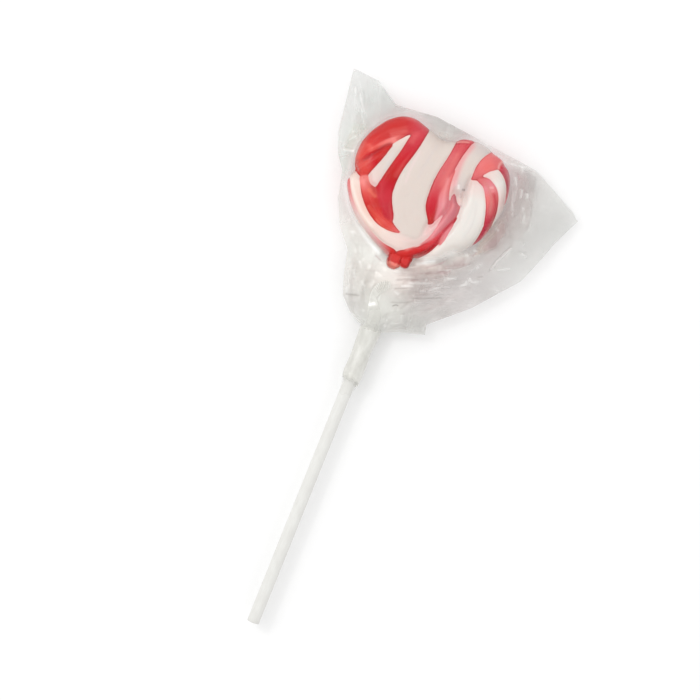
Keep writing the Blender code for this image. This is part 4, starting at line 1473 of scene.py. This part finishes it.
# The dark zones right of the heart, at its lower right and at the notch paint its shadow, the pink
# one with painted red bounce; the near-white zones by the stick, round the knobs and along the
# heart's lower edge paint light onto film that would look shaded.
# Middle x and y, reach x and y, red, green, blue, milkiness
FILM_ZONES = tuple(FilmZone.of(row) for row in (
    (28.6, 3.0, 4.4, 16.0, 182, 175, 168, 0.02),
    (38.0, 0.0, 7.5, 15.0, 202, 201, 196, 0.05),
    (26.4, 1.0, 1.8, 9.0, 190, 148, 146, 0.08),
    (15.0, -29.0, 14.0, 8.0, 198, 183, 180, 0.06),
    (26.0, -21.0, 9.0, 7.0, 194, 185, 183, 0.05),
    (-10.0, -31.0, 5.5, 9.0, 232, 225, 217, 0.12),
    (-1.6, -29.0, 4.8, 4.4, 250, 241, 234, 0.5),
    (0.8, -37.5, 8.6, 7.6, 252, 252, 245, 0.42),
    (4.0, -28.6, 4.4, 4.0, 246, 228, 220, 0.42),
    (9.0, -21.4, 6.0, 3.0, 250, 232, 222, 0.5),
    (17.0, -15.4, 4.0, 3.0, 252, 242, 234, 0.3),
    (-9.2, -25.0, 7.0, 4.8, 249, 252, 247, 0.56),
    (-15.5, -19.8, 6.5, 3.6, 250, 249, 243, 0.24),
    (-28.0, -1.5, 3.0, 4.5, 222, 238, 230, 0.14),
    (-1.6, 18.8, 4.4, 1.6, 236, 228, 220, 0.25),
    (21.5, -34.5, 6.0, 4.0, 182, 178, 172, 0.13),
    (14.0, -40.0, 4.5, 3.5, 182, 180, 174, 0.13),
    (33.5, -23.5, 4.5, 4.0, 182, 179, 174, 0.13),
    (45.0, 0.0, 4.0, 12.0, 186, 186, 182, 0.07),
    (-27.0, 6.0, 4.0, 14.0, 206, 226, 218, 0.08),
    (-15.0, 23.0, 9.0, 3.0, 202, 212, 208, 0.06),
    (-9.4, -41.4, 5.0, 3.2, 200, 195, 191, 0.14),
    (7.6, -43.6, 5.0, 2.4, 200, 197, 193, 0.12),
    (1.0, 22.6, 9.0, 2.6, 180, 176, 170, 0.15),
    (-33.0, 22.0, 4.0, 8.0, 200, 202, 198, 0.08),
))


@dataclass(frozen=True)
class PulledZone:
    """A stretch of the bag with fine streaks, where the film was pulled one way."""

    middle: Pair
    reach: Pair
    degrees: float
    strength: float


PULLED_ZONES = (
    PulledZone((13.0, -27.0), (15.0, 8.0), 26.0, 1.2),
    PulledZone((31.0, 6.0), (6.0, 13.0), -72.0, 0.75),
    PulledZone((-29.0, 18.0), (5.0, 9.0), -62.0, 0.9),
    PulledZone((-11.0, -30.0), (6.0, 9.0), -62.0, 0.2),
)


@dataclass
class FilmBag:
    """The clear bag: two sheets sealed along their edges, gathered at the neck."""

    form: HeartForm = field(default_factory=HeartForm)
    columns: int = 300
    rows: int = 290
    cover: float = 0.35
    slack: float = 0.6
    milkiness: float = 0.2
    tint: Colour = linear(204, 205, 197)
    # Where the film lies clear over the knobs, and under the tape's end
    knob_places: tuple = (((-1.1, -23.1), (2.5, 3.7)), ((2.2, -22.2), (1.9, 3.0)))
    tape_end: Pair = (-1.0, -38.0)
    tape_reach: Pair = (3.4, 8.0)
    # Small creases strewn at random, and gathers at the neck
    stray_creases: int = 26
    stray_across: Pair = (-33.0, 44.0)
    stray_along: Pair = (-30.0, 24.0)
    stray_lengths: Pair = (1.5, 5.0)
    stray_tones: Pair = (-0.14, 0.16)
    gathers: int = 14
    gathers_right: float = 0.6
    gather_sides: tuple[Pair, Pair] = ((15.0, 50.0), (115.0, 150.0))
    gather_starts: Pair = (1.5, 5.0)
    gather_lengths: Pair = (3.0, 8.0)
    gather_heights: Pair = (-0.12, 0.12)
    gather_tones: Pair = (-0.09, 0.05)
    # Form
    neck_radius: float = 3.0
    seam_half_thickness: float = 0.08
    seam_width: float = 0.5
    shoulder_inset: float = 2.5
    stick_radius: float = 2.0
    wing_droop: float = 2.6
    wing_start: float = 26.0
    wing_reach: float = 23.0
    corner_lift: float = 1.8
    corner_start: float = 27.0
    corner_reach: float = 19.0
    pleats: int = 6
    pleat_depth: float = 0.7
    lowest: float = 0.04
    # Facets and creases
    facet_folds: int = 9
    facet_slope: float = 0.014
    facet_warp: float = 0.8
    facet_turns: float = 0.16
    facet_lengths: Pair = (4.0, 13.0)
    crease_rise: Pair = (0.0, 0.15)
    crease_fall: Pair = (0.8, 1.0)
    line_share: float = 0.6
    # Tint, milkiness and the lay of the streaks
    own_share: float = 0.25
    knob_corners: float = 2.8
    knob_rim: Pair = (0.7, 1.25)
    tape_rim: Pair = (0.8, 1.3)
    veil_from: Pair = (0.0, 2.5)
    zones_from: Pair = (-2.4, 0.6)
    pull_from: Pair = (0.0, 2.0)
    pull_threshold: float = 0.12
    lay_offset: float = 9.0
    # Where the painted shade turns pink with painted red bounce from the heart
    red_bounce_reach: float = 7.0
    red_bounce_towards: Pair = (0.8, -0.6)
    red_bounce_from: Pair = (-4.0, 10.0)
    # How creases and pleats fade near the heart and the edge
    free_reach: float = 4.0
    free_start: float = 0.12
    free_least: float = 0.06
    edge_fade: float = 2.0
    pleat_fade: float = 5.0
    pleat_middle: float = 4.5
    pleat_side_fade: float = 3.0
    shoulder_share: float = 0.5
    lower_rise: float = 0.6
    edge_wave: float = 0.35
    # The sealed edge, and the outline: left x and y, right x and y
    seal_white: float = 0.12
    seal_inset: float = 0.2
    seal_width: float = 0.35
    sharp_angle: float = 50.0
    neck: Pair = (0.0, -44.0)
    edges: tuple = (
        (-2.6, -50.0, 2.6, -50.0), (-3.0, -47.0, 3.0, -47.0), (-8.3, -44.2, 8.5, -44.5),
        (-12.3, -40.1, 16.8, -42.2), (-14.4, -34.5, 16.0, -39.0), (-16.4, -26.0, 27.6, -28.5),
        (-21.6, -19.8, 33.1, -21.8), (-25.4, -11.8, 39.0, -14.8), (-27.4, -3.1, 42.0, -7.0),
        (-30.6, 1.2, 44.6, 0.4), (-33.2, 8.0, 46.6, 5.0), (-36.1, 28.3, 48.9, 10.0),
    )
    top_edge: tuple = (
        (-36.1, 28.3), (-27.2, 27.7), (-19.2, 22.7), (-5.6, 24.0), (30.2, 19.9), (46.2, 12.1),
        (48.9, 10.0),
    )
    finish: ClearFilm = field(default_factory=ClearFilm)

    def outline(self) -> np.ndarray:
        """The closed edge in plan.

        Returns:
            Its corners, the first one also last.
        """
        left = [(row[0], row[1]) for row in self.edges]
        right = [(row[2], row[3]) for row in reversed(self.edges)]
        return np.array([*left, *self.top_edge[1:-1], *right, left[0]])

    def plan_of(self, across: np.ndarray, along: np.ndarray) -> np.ndarray:
        """Places the flat sheet's points in plan.

        Args:
            across: Share of the way from the left edge to the right.
            along: Share of the way from the neck to the top edge.

        Returns:
            Points in plan, one row each.
        """
        edges = np.array(self.edges)
        middles = (edges[:, :2] + edges[:, 2:]) / 2
        lengths = np.linalg.norm(np.diff(middles, axis=0), axis=1)
        knots = np.concatenate([[0.0], np.cumsum(lengths)]) / lengths.sum()
        left, right = read_off(along, knots, edges[:, :2]), read_off(along, knots, edges[:, 2:])
        top = np.array(self.top_edge)
        run = np.concatenate([[0.0], np.cumsum(np.linalg.norm(np.diff(top, axis=0), axis=1))])
        on_top = read_off(across, run / run[-1], top)
        straight = top[0] + across[:, None] * (top[-1] - top[0])
        lift = np.clip((along - knots[-2]) / (1 - knots[-2]), 0.0, 1.0) ** 2
        return left + across[:, None] * (right - left) + lift[:, None] * (on_top - straight)

    def half_height(self, plan: np.ndarray, to_edge: np.ndarray, face: float) -> np.ndarray:
        """Height of a sheet over its seam: on the heart, on the stick, or stretched between.

        Args:
            plan: Points in plan.
            to_edge: Their distance from the bag's edge.
            face: Height of the heart's face over the mid-plane.

        Returns:
            The height for each point.
        """
        off_heart = np.maximum(self.form.beyond(plan) + self.shoulder_inset, 0.0)
        off_stick = np.maximum(np.abs(plan[:, 0]) - self.stick_radius / 2, 0.0)
        over_heart = face + self.cover - self.seam_half_thickness
        over_stick = self.neck_radius - self.seam_half_thickness
        seam = self.seam_half_thickness * np.clip(to_edge / self.seam_width, 0.0, 1.0)
        tent = np.maximum(
            over_heart * to_edge / np.maximum(to_edge + off_heart, TINY),
            over_stick * to_edge / np.maximum(to_edge + off_stick, TINY),
        )
        on_stick = np.sqrt(np.maximum(self.neck_radius**2 - plan[:, 0] ** 2, 0.0))
        on_stick *= plan[:, 1] < 0
        on_heart = self.form.half_height(plan, face, self.cover)
        return np.maximum.reduce([seam + tent, on_stick, on_heart])

    def bend(self, plan: np.ndarray) -> np.ndarray:
        """How far the free film droops on the right and lifts at the top left corner.

        Args:
            plan: Points in plan.

        Returns:
            The lift for each point, under 0 where the film droops.
        """
        x, y = plan.T
        wing = np.clip((x - self.wing_start) / self.wing_reach, 0.0, 1.0)
        corner = np.clip((np.hypot(x, y) - self.corner_start) / self.corner_reach, 0.0, 1.0)
        corner = np.where((x < 0) & (y > 0), corner, 0.0)
        return self.corner_lift * corner**2 - self.wing_droop * wing**1.5

    def stray(self) -> list[Crease]:
        """Small creases strewn over the free film, and gathers just above the neck.

        Returns:
            The creases.
        """
        rng = np.random.default_rng(SEED)
        made = []
        for _ in range(self.stray_creases):
            x, y = rng.uniform(*self.stray_across), rng.uniform(*self.stray_along)
            angle, length = rng.uniform(0, math.tau), rng.uniform(*self.stray_lengths)
            last = (x + length * math.cos(angle), y + length * math.sin(angle))
            made.append(Crease(((x, y), last), 0.2, 0.45, rng.uniform(*self.stray_tones)))
        for _ in range(self.gathers):
            x, y = self.neck
            right, left = self.gather_sides
            side = right if rng.random() < self.gathers_right else left
            angle = math.radians(rng.uniform(*side))
            start, length = rng.uniform(*self.gather_starts), rng.uniform(*self.gather_lengths)
            first = (x + start * math.cos(angle), y + start * math.sin(angle))
            reach = start + length
            last = (x + reach * math.cos(angle), y + reach * math.sin(angle))
            height, tone = rng.uniform(*self.gather_heights), rng.uniform(*self.gather_tones)
            made.append(Crease((first, last), height, 0.6, tone))
        return made

    def wrinkles(self, plan: np.ndarray, seed: int) -> tuple[np.ndarray, np.ndarray, np.ndarray]:
        """Height, painted glints and painted shade of all the creases.

        Args:
            plan: Points in plan.
            seed: Start of the random draw for the facets.

        Returns:
            Height in millimetres, then the whitening of painted glints and the painted shade, from
            0 to 1.
        """
        height, white, shade = np.zeros((3, len(plan)))
        for crease in (*CREASES, *self.stray()):
            curve = smooth_curve(crease.path, CREASE_STEPS)
            near = Nearness.to_curve(plan, curve)
            length = float(np.linalg.norm(np.diff(curve, axis=0), axis=1).sum())
            share = near.along / length
            ends = 1.0
            if crease.height:
                ends = faded(share, self.crease_rise, self.crease_fall)
                height += crease.height * np.exp(-near.distance / crease.width) * ends
            width = crease.width * (self.line_share if crease.height else 1.0)
            line = bump(near.distance / width) * ends
            white += max(crease.tone, 0.0) * line
            shade += max(-crease.tone, 0.0) * line
        rng = np.random.default_rng(SEED + seed)
        facets = np.zeros(len(plan))
        for _ in range(self.facet_folds):
            angle, length = rng.uniform(0, math.pi), rng.uniform(*self.facet_lengths)
            turns, start = rng.normal(0, self.facet_turns, 2), rng.uniform(0, 6)
            warp = self.facet_warp * np.sin(plan @ turns + start)
            line = plan @ (math.cos(angle) / length, math.sin(angle) / length)
            facets += triangle_wave(line + warp + rng.random()) * self.facet_slope * length
        return height + facets, np.clip(white, 0.0, 1.0), np.clip(shade, 0.0, 1.0)

    def tint_and_paint_light(self, sheet: bpy.types.Object, plan: np.ndarray, beyond: np.ndarray) -> None:
        """Notes the sheet's tint, with painted shade and painted light from the zones and facets,
        its milkiness, the share of painted red bounce near the heart, and the lay of its fine
        streaks.

        Args:
            sheet: The sheet.
            plan: Its points in plan.
            beyond: How far each lies outside the heart's edge.
        """
        total = np.full(len(plan), self.own_share)
        mixed = total[:, None] * np.array(self.tint)
        milk = self.milkiness * ramp(beyond, *self.veil_from)
        from_heart = ramp(beyond, *self.zones_from)
        for zone in (*FILM_ZONES, *FILM_FACETS):
            share = zone.share(plan)
            total += share
            mixed += share[:, None] * np.array(zone.tint)
            milk += share * zone.milk * from_heart
        off_knobs = np.min([
            np.sum(np.abs((plan - place) / reach) ** self.knob_corners, axis=1)
            for place, reach in self.knob_places
        ], axis=0)
        clear = ramp(off_knobs, *self.knob_rim)
        Bench.note_colour(sheet, "tint", mixed / total[:, None])
        Bench.note(sheet, "veil", milk * clear)
        # Painted red bounce: near the heart's lower right the painted shade turns pink.
        near_heart = bump(np.maximum(beyond, 0.0) / self.red_bounce_reach)
        lower_right = ramp(plan @ self.red_bounce_towards, *self.red_bounce_from)
        Bench.note(sheet, "red_bounce_share", near_heart * lower_right)
        pulled = np.zeros(len(plan))
        lay = np.zeros((len(plan), 3))
        for number, zone in enumerate(PULLED_ZONES):
            share = bump(oval(plan, zone.middle, zone.reach))
            share = np.maximum(share - self.pull_threshold, 0.0) * zone.strength
            turn = math.radians(zone.degrees)
            along = plan @ (math.cos(turn), math.sin(turn))
            across = plan @ (-math.sin(turn), math.cos(turn))
            own = share > pulled
            offset = np.full(len(plan), self.lay_offset * number)
            lay[own] = np.column_stack([across, along, offset])[own]
            pulled = np.maximum(pulled, share)
        Bench.note(sheet, "lay", lay)
        Bench.note(sheet, "pulled", pulled * ramp(beyond, *self.pull_from))

    def shape_sheet(self, sheet: bpy.types.Object, upper: bool) -> None:
        """Moves a flat grid's points to one sheet of the bag, and notes its creases.

        Args:
            sheet: The grid, from -1 to 1 both ways.
            upper: Whether it is the sheet over the candy.
        """
        flat = Bench.points(sheet)
        across, along = (flat[:, 0] + 1) / 2, (flat[:, 1] + 1) / 2
        plan = self.plan_of(across, along)
        to_edge = Nearness.to_curve(plan, self.outline()).distance
        face = self.form.front + self.form.crown if upper else self.form.back + self.slack
        beyond = self.form.beyond(plan)
        free = np.clip(beyond / self.free_reach + self.free_start, self.free_least, 1.0)
        at_edge = np.clip(to_edge / self.edge_fade, 0.0, 1.0)
        pleats = self.pleat_depth * np.sin(math.tau * self.pleats * across)
        off_middle = np.abs(plan[:, 0]) - self.pleat_middle
        pleats *= np.clip(beyond / self.pleat_fade, 0.0, 1.0)
        pleats *= np.clip(off_middle / self.pleat_side_fade, 0.0, 1.0)
        pleats *= np.clip(to_edge / self.pleat_side_fade, 0.0, 1.0)
        rise, white, shade = self.wrinkles(plan, 1 if upper else 2)
        off_tape = ramp(oval(plan, self.tape_end, self.tape_reach), *self.tape_rim)
        rise = rise * free * at_edge * off_tape
        rise = np.where(beyond < 1.0, np.maximum(rise, 0.0) * self.shoulder_share, rise)
        middle = MID_Z + self.bend(plan)
        wave = mottle(plan, self.edge_wave, (0.7, 0.0), (0.0, 0.5), 1.0) * (1 - at_edge)
        half = self.half_height(plan, to_edge, face)
        height = middle + wave + pleats
        height += half + rise if upper else rise * self.lower_rise - half
        points = np.column_stack([plan, np.maximum(height, self.lowest)])
        Bench.move(sheet, Bench.to_world(points))
        self.tint_and_paint_light(sheet, plan, beyond)
        share = 1.0 if upper else 0.0
        # The crease attribute takes the painted glints and the sealed edge's white; the shade
        # attribute takes the painted shade.
        seam = self.seal_white * bump((to_edge - self.seal_inset) / self.seal_width)
        Bench.note(sheet, "crease", np.clip(white * share * off_tape + seam, 0.0, 1.0))
        Bench.note(sheet, "shade", shade * share * off_tape)

    def build(self) -> None:
        """Makes and dresses the two sheets."""
        material = self.finish.make()
        for upper in (True, False):
            name = "film_upper" if upper else "film_lower"
            sheet = Bench.grid(name, self.columns, self.rows)
            self.shape_sheet(sheet, upper)
            Bench.dress(sheet, material, "film_bag", "film", self.sharp_angle)


# ---- the tape and the stick


@dataclass
class TapeWrap:
    """Tape wound round the gathered neck and the stick, with a toothed end over the bag."""

    bag: FilmBag
    stick_radius: float = 2.0
    profile: tuple = (
        (-46.6, 3.5), (-47.6, 3.4), (-50.0, 3.3), (-54.0, 3.1), (-58.0, 3.15), (-62.0, 3.2),
        (-64.2, 3.0), (-65.6, 2.55), (-67.0, 2.16), (-69.5, 2.12),
    )
    around: int = 120
    length_rows: int = 150
    strip: tuple = (
        (0.0, -47.4, 2.8), (-0.2, -45.0, 2.3), (-0.5, -42.4, 2.1), (-1.9, -39.9, 1.7),
        (-3.0, -37.6, 1.1), (-3.0, -35.6, 1.3), (-2.2, -33.8, 1.5), (-0.9, -32.4, 1.5),
        (0.6, -31.4, 1.1),
    )
    # The sleeve: waves are height, turns and start; step_from, thins_from and mouth_from are -y
    end_waves: tuple = ((0.4, 3, 0.0), (0.2, 7, 1.0))
    step_waves: tuple = ((0.7, 1, 0.9 + math.pi / 2), (0.35, 3, 0.0), (0.2, 8, 0.0))
    step_from: Pair = (60.0, 64.0)
    wind_length: float = 9.0
    step_height: float = 0.08
    fold_height: float = 0.025
    close_from: Pair = (0.97, 1.0)
    whiteness: float = 0.3
    layer_edges: Pair = (0.02, 0.98)
    layer_edge_width: float = 0.06
    layer_edge_white: float = 0.2
    thins_by: float = 3.0
    thins_from: Pair = (63.6, 65.8)
    mouth_clear: float = 1.1
    mouth_from: Pair = (46.6, 47.4)
    # The loose end; a spot is x, y, reach and gain, and the first two spots are painted highlights
    white_spots: tuple = (
        (-2.0, -39.2, 0.9, 1.5), (-3.1, -40.0, 0.8, 1.3), (-3.4, -33.6, 0.6, 0.8),
    )
    tongue_grid: tuple[int, int] = (60, 200)
    tongue_length: float = 22.0
    folds: int = 7
    clearance: float = 0.12
    skin: float = 0.1
    rib: float = 0.78
    rib_height: float = 0.06
    pucker: float = 3.1
    pucker_height: float = 0.12
    sharp_angle: float = 40.0
    ribs_from: Pair = (0.62, 0.72)
    rib_slant: float = 0.25
    pucker_slant: float = 0.3
    tooth: float = 0.12
    tip_from: Pair = (0.95, 1.0)
    tip_narrowing: float = 0.35
    strip_from: Pair = (0.3, 0.46)
    side_from: Pair = (0.3, 0.0)
    root_from: Pair = (0.2, 0.0)
    tone_range: Pair = (-2.4, 1.0)
    lift: float = 0.45
    finish: LayeredTape = field(default_factory=LayeredTape)

    def build_sleeve(self) -> bpy.types.Object:
        """Winds the tape round the stick.

        Returns:
            The sleeve.
        """
        sleeve = Bench.grid("tape_sleeve", self.around, self.length_rows)
        flat = Bench.points(sleeve)
        angle = flat[:, 0] * math.pi
        share = (1 - flat[:, 1]) / 2
        ys = np.array([y for y, _ in self.profile])
        radii = np.array([radius for _, radius in self.profile])
        end = ys[-1] + waves(angle, self.end_waves)
        y = ys[0] + share * (end - ys[0])
        step_off = waves(angle, self.step_waves)
        radius = np.interp(-y + step_off * ramp(-y, *self.step_from), -ys, radii)
        wind = (y / self.wind_length + angle / math.tau) % 1.0
        step = self.step_height * (wind - 0.5)
        rng = np.random.default_rng(SEED + 5)
        folds = np.zeros(len(y))
        for _ in range(self.folds):
            turns, slant = rng.integers(2, 7), rng.uniform(-0.5, 0.5)
            start = math.tau * (0.25 * slant * y + rng.random())
            folds += np.sin(turns * angle + start) * self.fold_height
        radius = radius + step + folds
        radius = np.maximum(radius, self.stick_radius + self.clearance)
        close = ramp(share, *self.close_from)
        radius = radius * (1 - close) + (self.stick_radius + self.clearance / 2) * close
        points = np.column_stack([radius * np.sin(angle), y, MID_Z + radius * np.cos(angle)])
        Bench.move(sleeve, Bench.to_world(points))
        layers = self.whiteness - self.thins_by * ramp(-y + step_off, *self.thins_from)
        for place in self.layer_edges:
            layers += self.layer_edge_white * bump((wind - place) / self.layer_edge_width)
        layers -= self.mouth_clear * (1 - ramp(-y, *self.mouth_from))
        Bench.note(sleeve, "crease", layers)
        Bench.tidy(sleeve, 0.0005)
        return sleeve

    def build_tongue(self) -> bpy.types.Object:
        """Lays the tape's loose end over the bag, curled to the left and ribbed at its tip.

        Returns:
            The loose end.
        """
        tongue = Bench.grid("tape_tongue", *self.tongue_grid)
        flat = Bench.points(tongue)
        share = (flat[:, 1] + 1) / 2
        curve = smooth_curve(self.strip, EDGE_STEPS)
        places = np.linspace(0.0, 1.0, len(curve))
        middle = read_off(share, places, curve[:, :2])
        half_width = np.interp(share, places, curve[:, 2])
        run = np.gradient(curve[:, :2], axis=0)
        run /= np.linalg.norm(run, axis=1)[:, None]
        heading = read_off(share, places, run)
        across = flat[:, 0] * half_width * (1 - self.tip_narrowing * ramp(share, *self.tip_from))
        length = share * self.tongue_length
        teeth = self.tooth * triangle_wave(length / self.rib) * ramp(share, *self.ribs_from)
        across = across + np.sign(flat[:, 0]) * teeth * np.abs(flat[:, 0])
        plan = middle + across[:, None] * np.column_stack([heading[:, 1], -heading[:, 0]])
        to_edge = Nearness.to_curve(plan, self.bag.outline()).distance
        face = self.bag.form.front + self.bag.form.crown
        height = MID_Z + self.bag.bend(plan) + self.bag.half_height(plan, to_edge, face)
        ribbed = faded(share, self.ribs_from, self.close_from)
        rib_wave = triangle_wave(length / self.rib + self.rib_slant * flat[:, 0])
        pucker_wave = triangle_wave(length / self.pucker + self.pucker_slant * flat[:, 0])
        folded = self.rib_height * rib_wave * ribbed
        folded += self.pucker_height * pucker_wave * (1 - ribbed)
        top = height + self.lift + self.skin + folded
        Bench.move(tongue, Bench.to_world(np.column_stack([plan, top])))
        Bench.note(tongue, "crease", self.whiten(flat, plan, ribbed, rib_wave > 0.0))
        return tongue

    def whiten(
        self, flat: np.ndarray, plan: np.ndarray, ribbed: np.ndarray, on_ridge: np.ndarray
    ) -> np.ndarray:
        """Finds how white the tape's loose end is, with painted highlights in spots and on the
        ridges of its ribs.

        Args:
            flat: Points of the flat grid, from -1 to 1 both ways.
            plan: The same points in plan.
            ribbed: How far each point is in the ribbed part, 0 to 1.
            on_ridge: Whether it is on a ridge.

        Returns:
            The whiteness, under 0 where the tape is clear.
        """
        share = (flat[:, 1] + 1) / 2
        ridge = on_ridge * ribbed
        strip = ramp(share, *self.strip_from) * (1 - 0.3 * ribbed)
        patchy = 0.5 + mottle(plan, 0.5, (2.9, 1.7), (-1.3, 2.3), 0.8)
        # The ribs' ridges are whitened: partly the tape's white crinkles, partly a painted
        # highlight.
        white = -2.0 + 2.0 * strip + 1.3 * ridge * (0.4 + 0.6 * patchy) - 0.8 * ribbed
        side = ramp(1 - np.abs(flat[:, 0]), *self.side_from) * (0.25 + 0.75 * patchy * ribbed)
        white = white + 1.1 * side + 0.7 * ramp(share, *self.root_from)
        for x, y, reach, gain in self.white_spots:
            white = white + gain * bump(oval(plan, (x, y), reach))
        return np.clip(white, *self.tone_range)

    def build(self) -> None:
        """Makes, joins and dresses the sleeve and the tongue."""
        sleeve, tongue = self.build_sleeve(), self.build_tongue()
        Bench.pick(sleeve)
        tongue.select_set(True)
        bpy.ops.object.join()
        tape = Bench.take("tape")
        Bench.dress(tape, self.finish.make(), "neck_tape", "tape", self.sharp_angle)


@dataclass
class PaperStick:
    """The round stick of rolled paper."""

    diameter: float = 4.0
    length: float = 150.0
    foot_y: float = -148.0
    chamfer: float = 0.3
    chamfer_angle: float = 60.0
    sides: int = 72
    end_slope: float = 0.2
    bands: int = 100
    seam_share: float = 0.03
    foot_reach: float = 0.45
    foot_shade: float = 2.4
    sharp_angle: float = 50.0
    finish: RolledPaper = field(default_factory=RolledPaper)

    def build(self) -> None:
        """Makes and dresses the stick."""
        Bench.clear_selection()
        bpy.ops.mesh.primitive_cylinder_add(
            vertices=self.sides,
            radius=self.diameter / 2 * MM,
            depth=self.length * MM,
            end_fill_type="NGON",
            rotation=(-math.pi / 2, 0.0, 0.0),
            location=(HEART_X * MM, (HEART_Y + self.foot_y + self.length / 2) * MM, MID_Z * MM),
        )
        stick = Bench.take("paper_stick")
        Bench.apply(
            stick, "BEVEL", width=self.chamfer * MM, segments=4, limit_method="ANGLE",
            angle_limit=math.radians(self.chamfer_angle),
        )
        bpy.ops.object.transform_apply(location=True, rotation=True, scale=True)
        bpy.ops.object.mode_set(mode="EDIT")
        bpy.ops.mesh.select_all(action="DESELECT")
        bpy.ops.object.mode_set(mode="OBJECT")
        for polygon in stick.data.polygons:
            polygon.select = abs(polygon.normal.y) < self.end_slope and len(polygon.vertices) == 4
        bpy.ops.object.mode_set(mode="EDIT")
        bpy.ops.mesh.subdivide(number_cuts=1)
        bpy.ops.object.mode_set(mode="OBJECT")
        self.roll(stick)
        Bench.dress(stick, self.finish.make(), "stick", "stick", self.sharp_angle)

    def roll(self, stick: bpy.types.Object) -> None:
        """Bisects the stick into short lengths, and notes where the paper's seam runs, with the
        painted shade at the foot end in the same attribute.

        Args:
            stick: The stick's object.
        """
        Bench.pick(stick)
        bpy.ops.object.mode_set(mode="EDIT")
        for number in range(1, self.bands):
            bpy.ops.mesh.select_all(action="SELECT")
            y = (HEART_Y + self.foot_y + number * self.length / self.bands) * MM
            bpy.ops.mesh.bisect(plane_co=(0.0, y, 0.0), plane_no=(0.0, 1.0, 0.0))
        bpy.ops.object.mode_set(mode="OBJECT")
        points = Bench.to_heart(Bench.points(stick))
        around = np.arctan2(points[:, 0], points[:, 2] - MID_Z) / math.tau
        wind = (around + points[:, 1] * self.finish.turns_per_mm) % 1.0
        seam = bump(np.minimum(wind, 1 - wind) / self.seam_share)
        # Painted shade round the chamfered foot end.
        foot = self.foot_shade * bump((points[:, 1] - self.foot_y) / self.foot_reach)
        Bench.note(stick, "seam", np.maximum(seam, foot))


# ---- the studio


@dataclass
class Studio:
    """Floor, soft light and a camera that looks straight down, turned as in the picture."""

    middle: Pair = (-10.05, 4.2)
    camera_height: float = 653.5
    lens: float = 104.0
    sensor: float = 36.0
    turn: float = 21.9
    floor_side: float = 6.0
    daylight: float = 0.83
    bounces: int = 24
    # Name, azimuth, height, reach, side and power, as in add_light
    lamps: tuple = (
        ("key", 140.0, 56.0, 0.9, 0.8, 2.2),
        ("glint", 150.0, 58.0, 0.8, 0.08, 0.4),
        ("fill", -60.0, 45.0, 1.2, 0.8, 1.1),
    )

    def lay_floor(self) -> None:
        """Lays the pale card."""
        Bench.clear_selection()
        bpy.ops.mesh.primitive_plane_add(size=self.floor_side)
        floor = Bench.take("floor")
        floor.data.materials.append(StudioCard().make())

    def add_light(
        self, name: str, azimuth: float, height: float, reach: float, size: float, power: float
    ) -> None:
        """Hangs one soft lamp that looks at the candy.

        Args:
            name: The lamp's name.
            azimuth: Its direction in the picture, in degrees anticlockwise from the right.
            height: Its angle over the floor, in degrees.
            reach: Its distance, in metres.
            size: Its side, in metres.
            power: Its power, in watts.
        """
        lamp = bpy.data.lights.new(name, "AREA")
        lamp.shape = "SQUARE"
        lamp.size = size
        lamp.energy = power
        obj = bpy.data.objects.new(name, lamp)
        bpy.context.scene.collection.objects.link(obj)
        around, up = math.radians(azimuth + self.turn), math.radians(height)
        flat = math.cos(up)
        towards = Vector((math.cos(around) * flat, math.sin(around) * flat, math.sin(up)))
        target = Vector((HEART_X * MM, HEART_Y * MM, 0.0))
        obj.location = target + towards * reach
        obj.rotation_euler = (-towards).to_track_quat("-Z", "Y").to_euler()

    def set_world(self) -> None:
        """Sets the even light from all round."""
        world = bpy.data.worlds.new("studio")
        world.use_nodes = True
        background = world.node_tree.nodes["Background"]
        background.inputs["Color"].default_value = (1.0, 1.0, 1.0, 1.0)
        background.inputs["Strength"].default_value = self.daylight
        bpy.context.scene.world = world

    def set_camera(self) -> None:
        """Sets the camera straight over the picture's middle."""
        data = bpy.data.cameras.new("camera")
        data.lens = self.lens
        data.sensor_width = self.sensor
        data.clip_end = 20.0
        camera = bpy.data.objects.new("camera", data)
        camera.location = (self.middle[0] * MM, self.middle[1] * MM, self.camera_height * MM)
        camera.rotation_euler = (0.0, 0.0, math.radians(self.turn))
        bpy.context.scene.collection.objects.link(camera)
        bpy.context.scene.camera = camera

    def build(self) -> None:
        """Sets up the whole studio."""
        self.lay_floor()
        self.set_world()
        for lamp in self.lamps:
            self.add_light(*lamp)
        self.set_camera()
        scene = bpy.context.scene
        scene.view_settings.view_transform = "Standard"
        scene.view_settings.look = "None"
        scene.cycles.transparent_max_bounces = self.bounces


def main() -> None:
    """Builds the lollipop piece by piece, and reports each."""
    logging.basicConfig(level=logging.INFO, format="%(name)s: %(message)s")
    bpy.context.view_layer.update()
    SugarHeart().build()
    bag = FilmBag()
    bag.build()
    TapeWrap(bag).build()
    PaperStick().build()
    Studio().build()


if __name__ == "__main__":
    main()
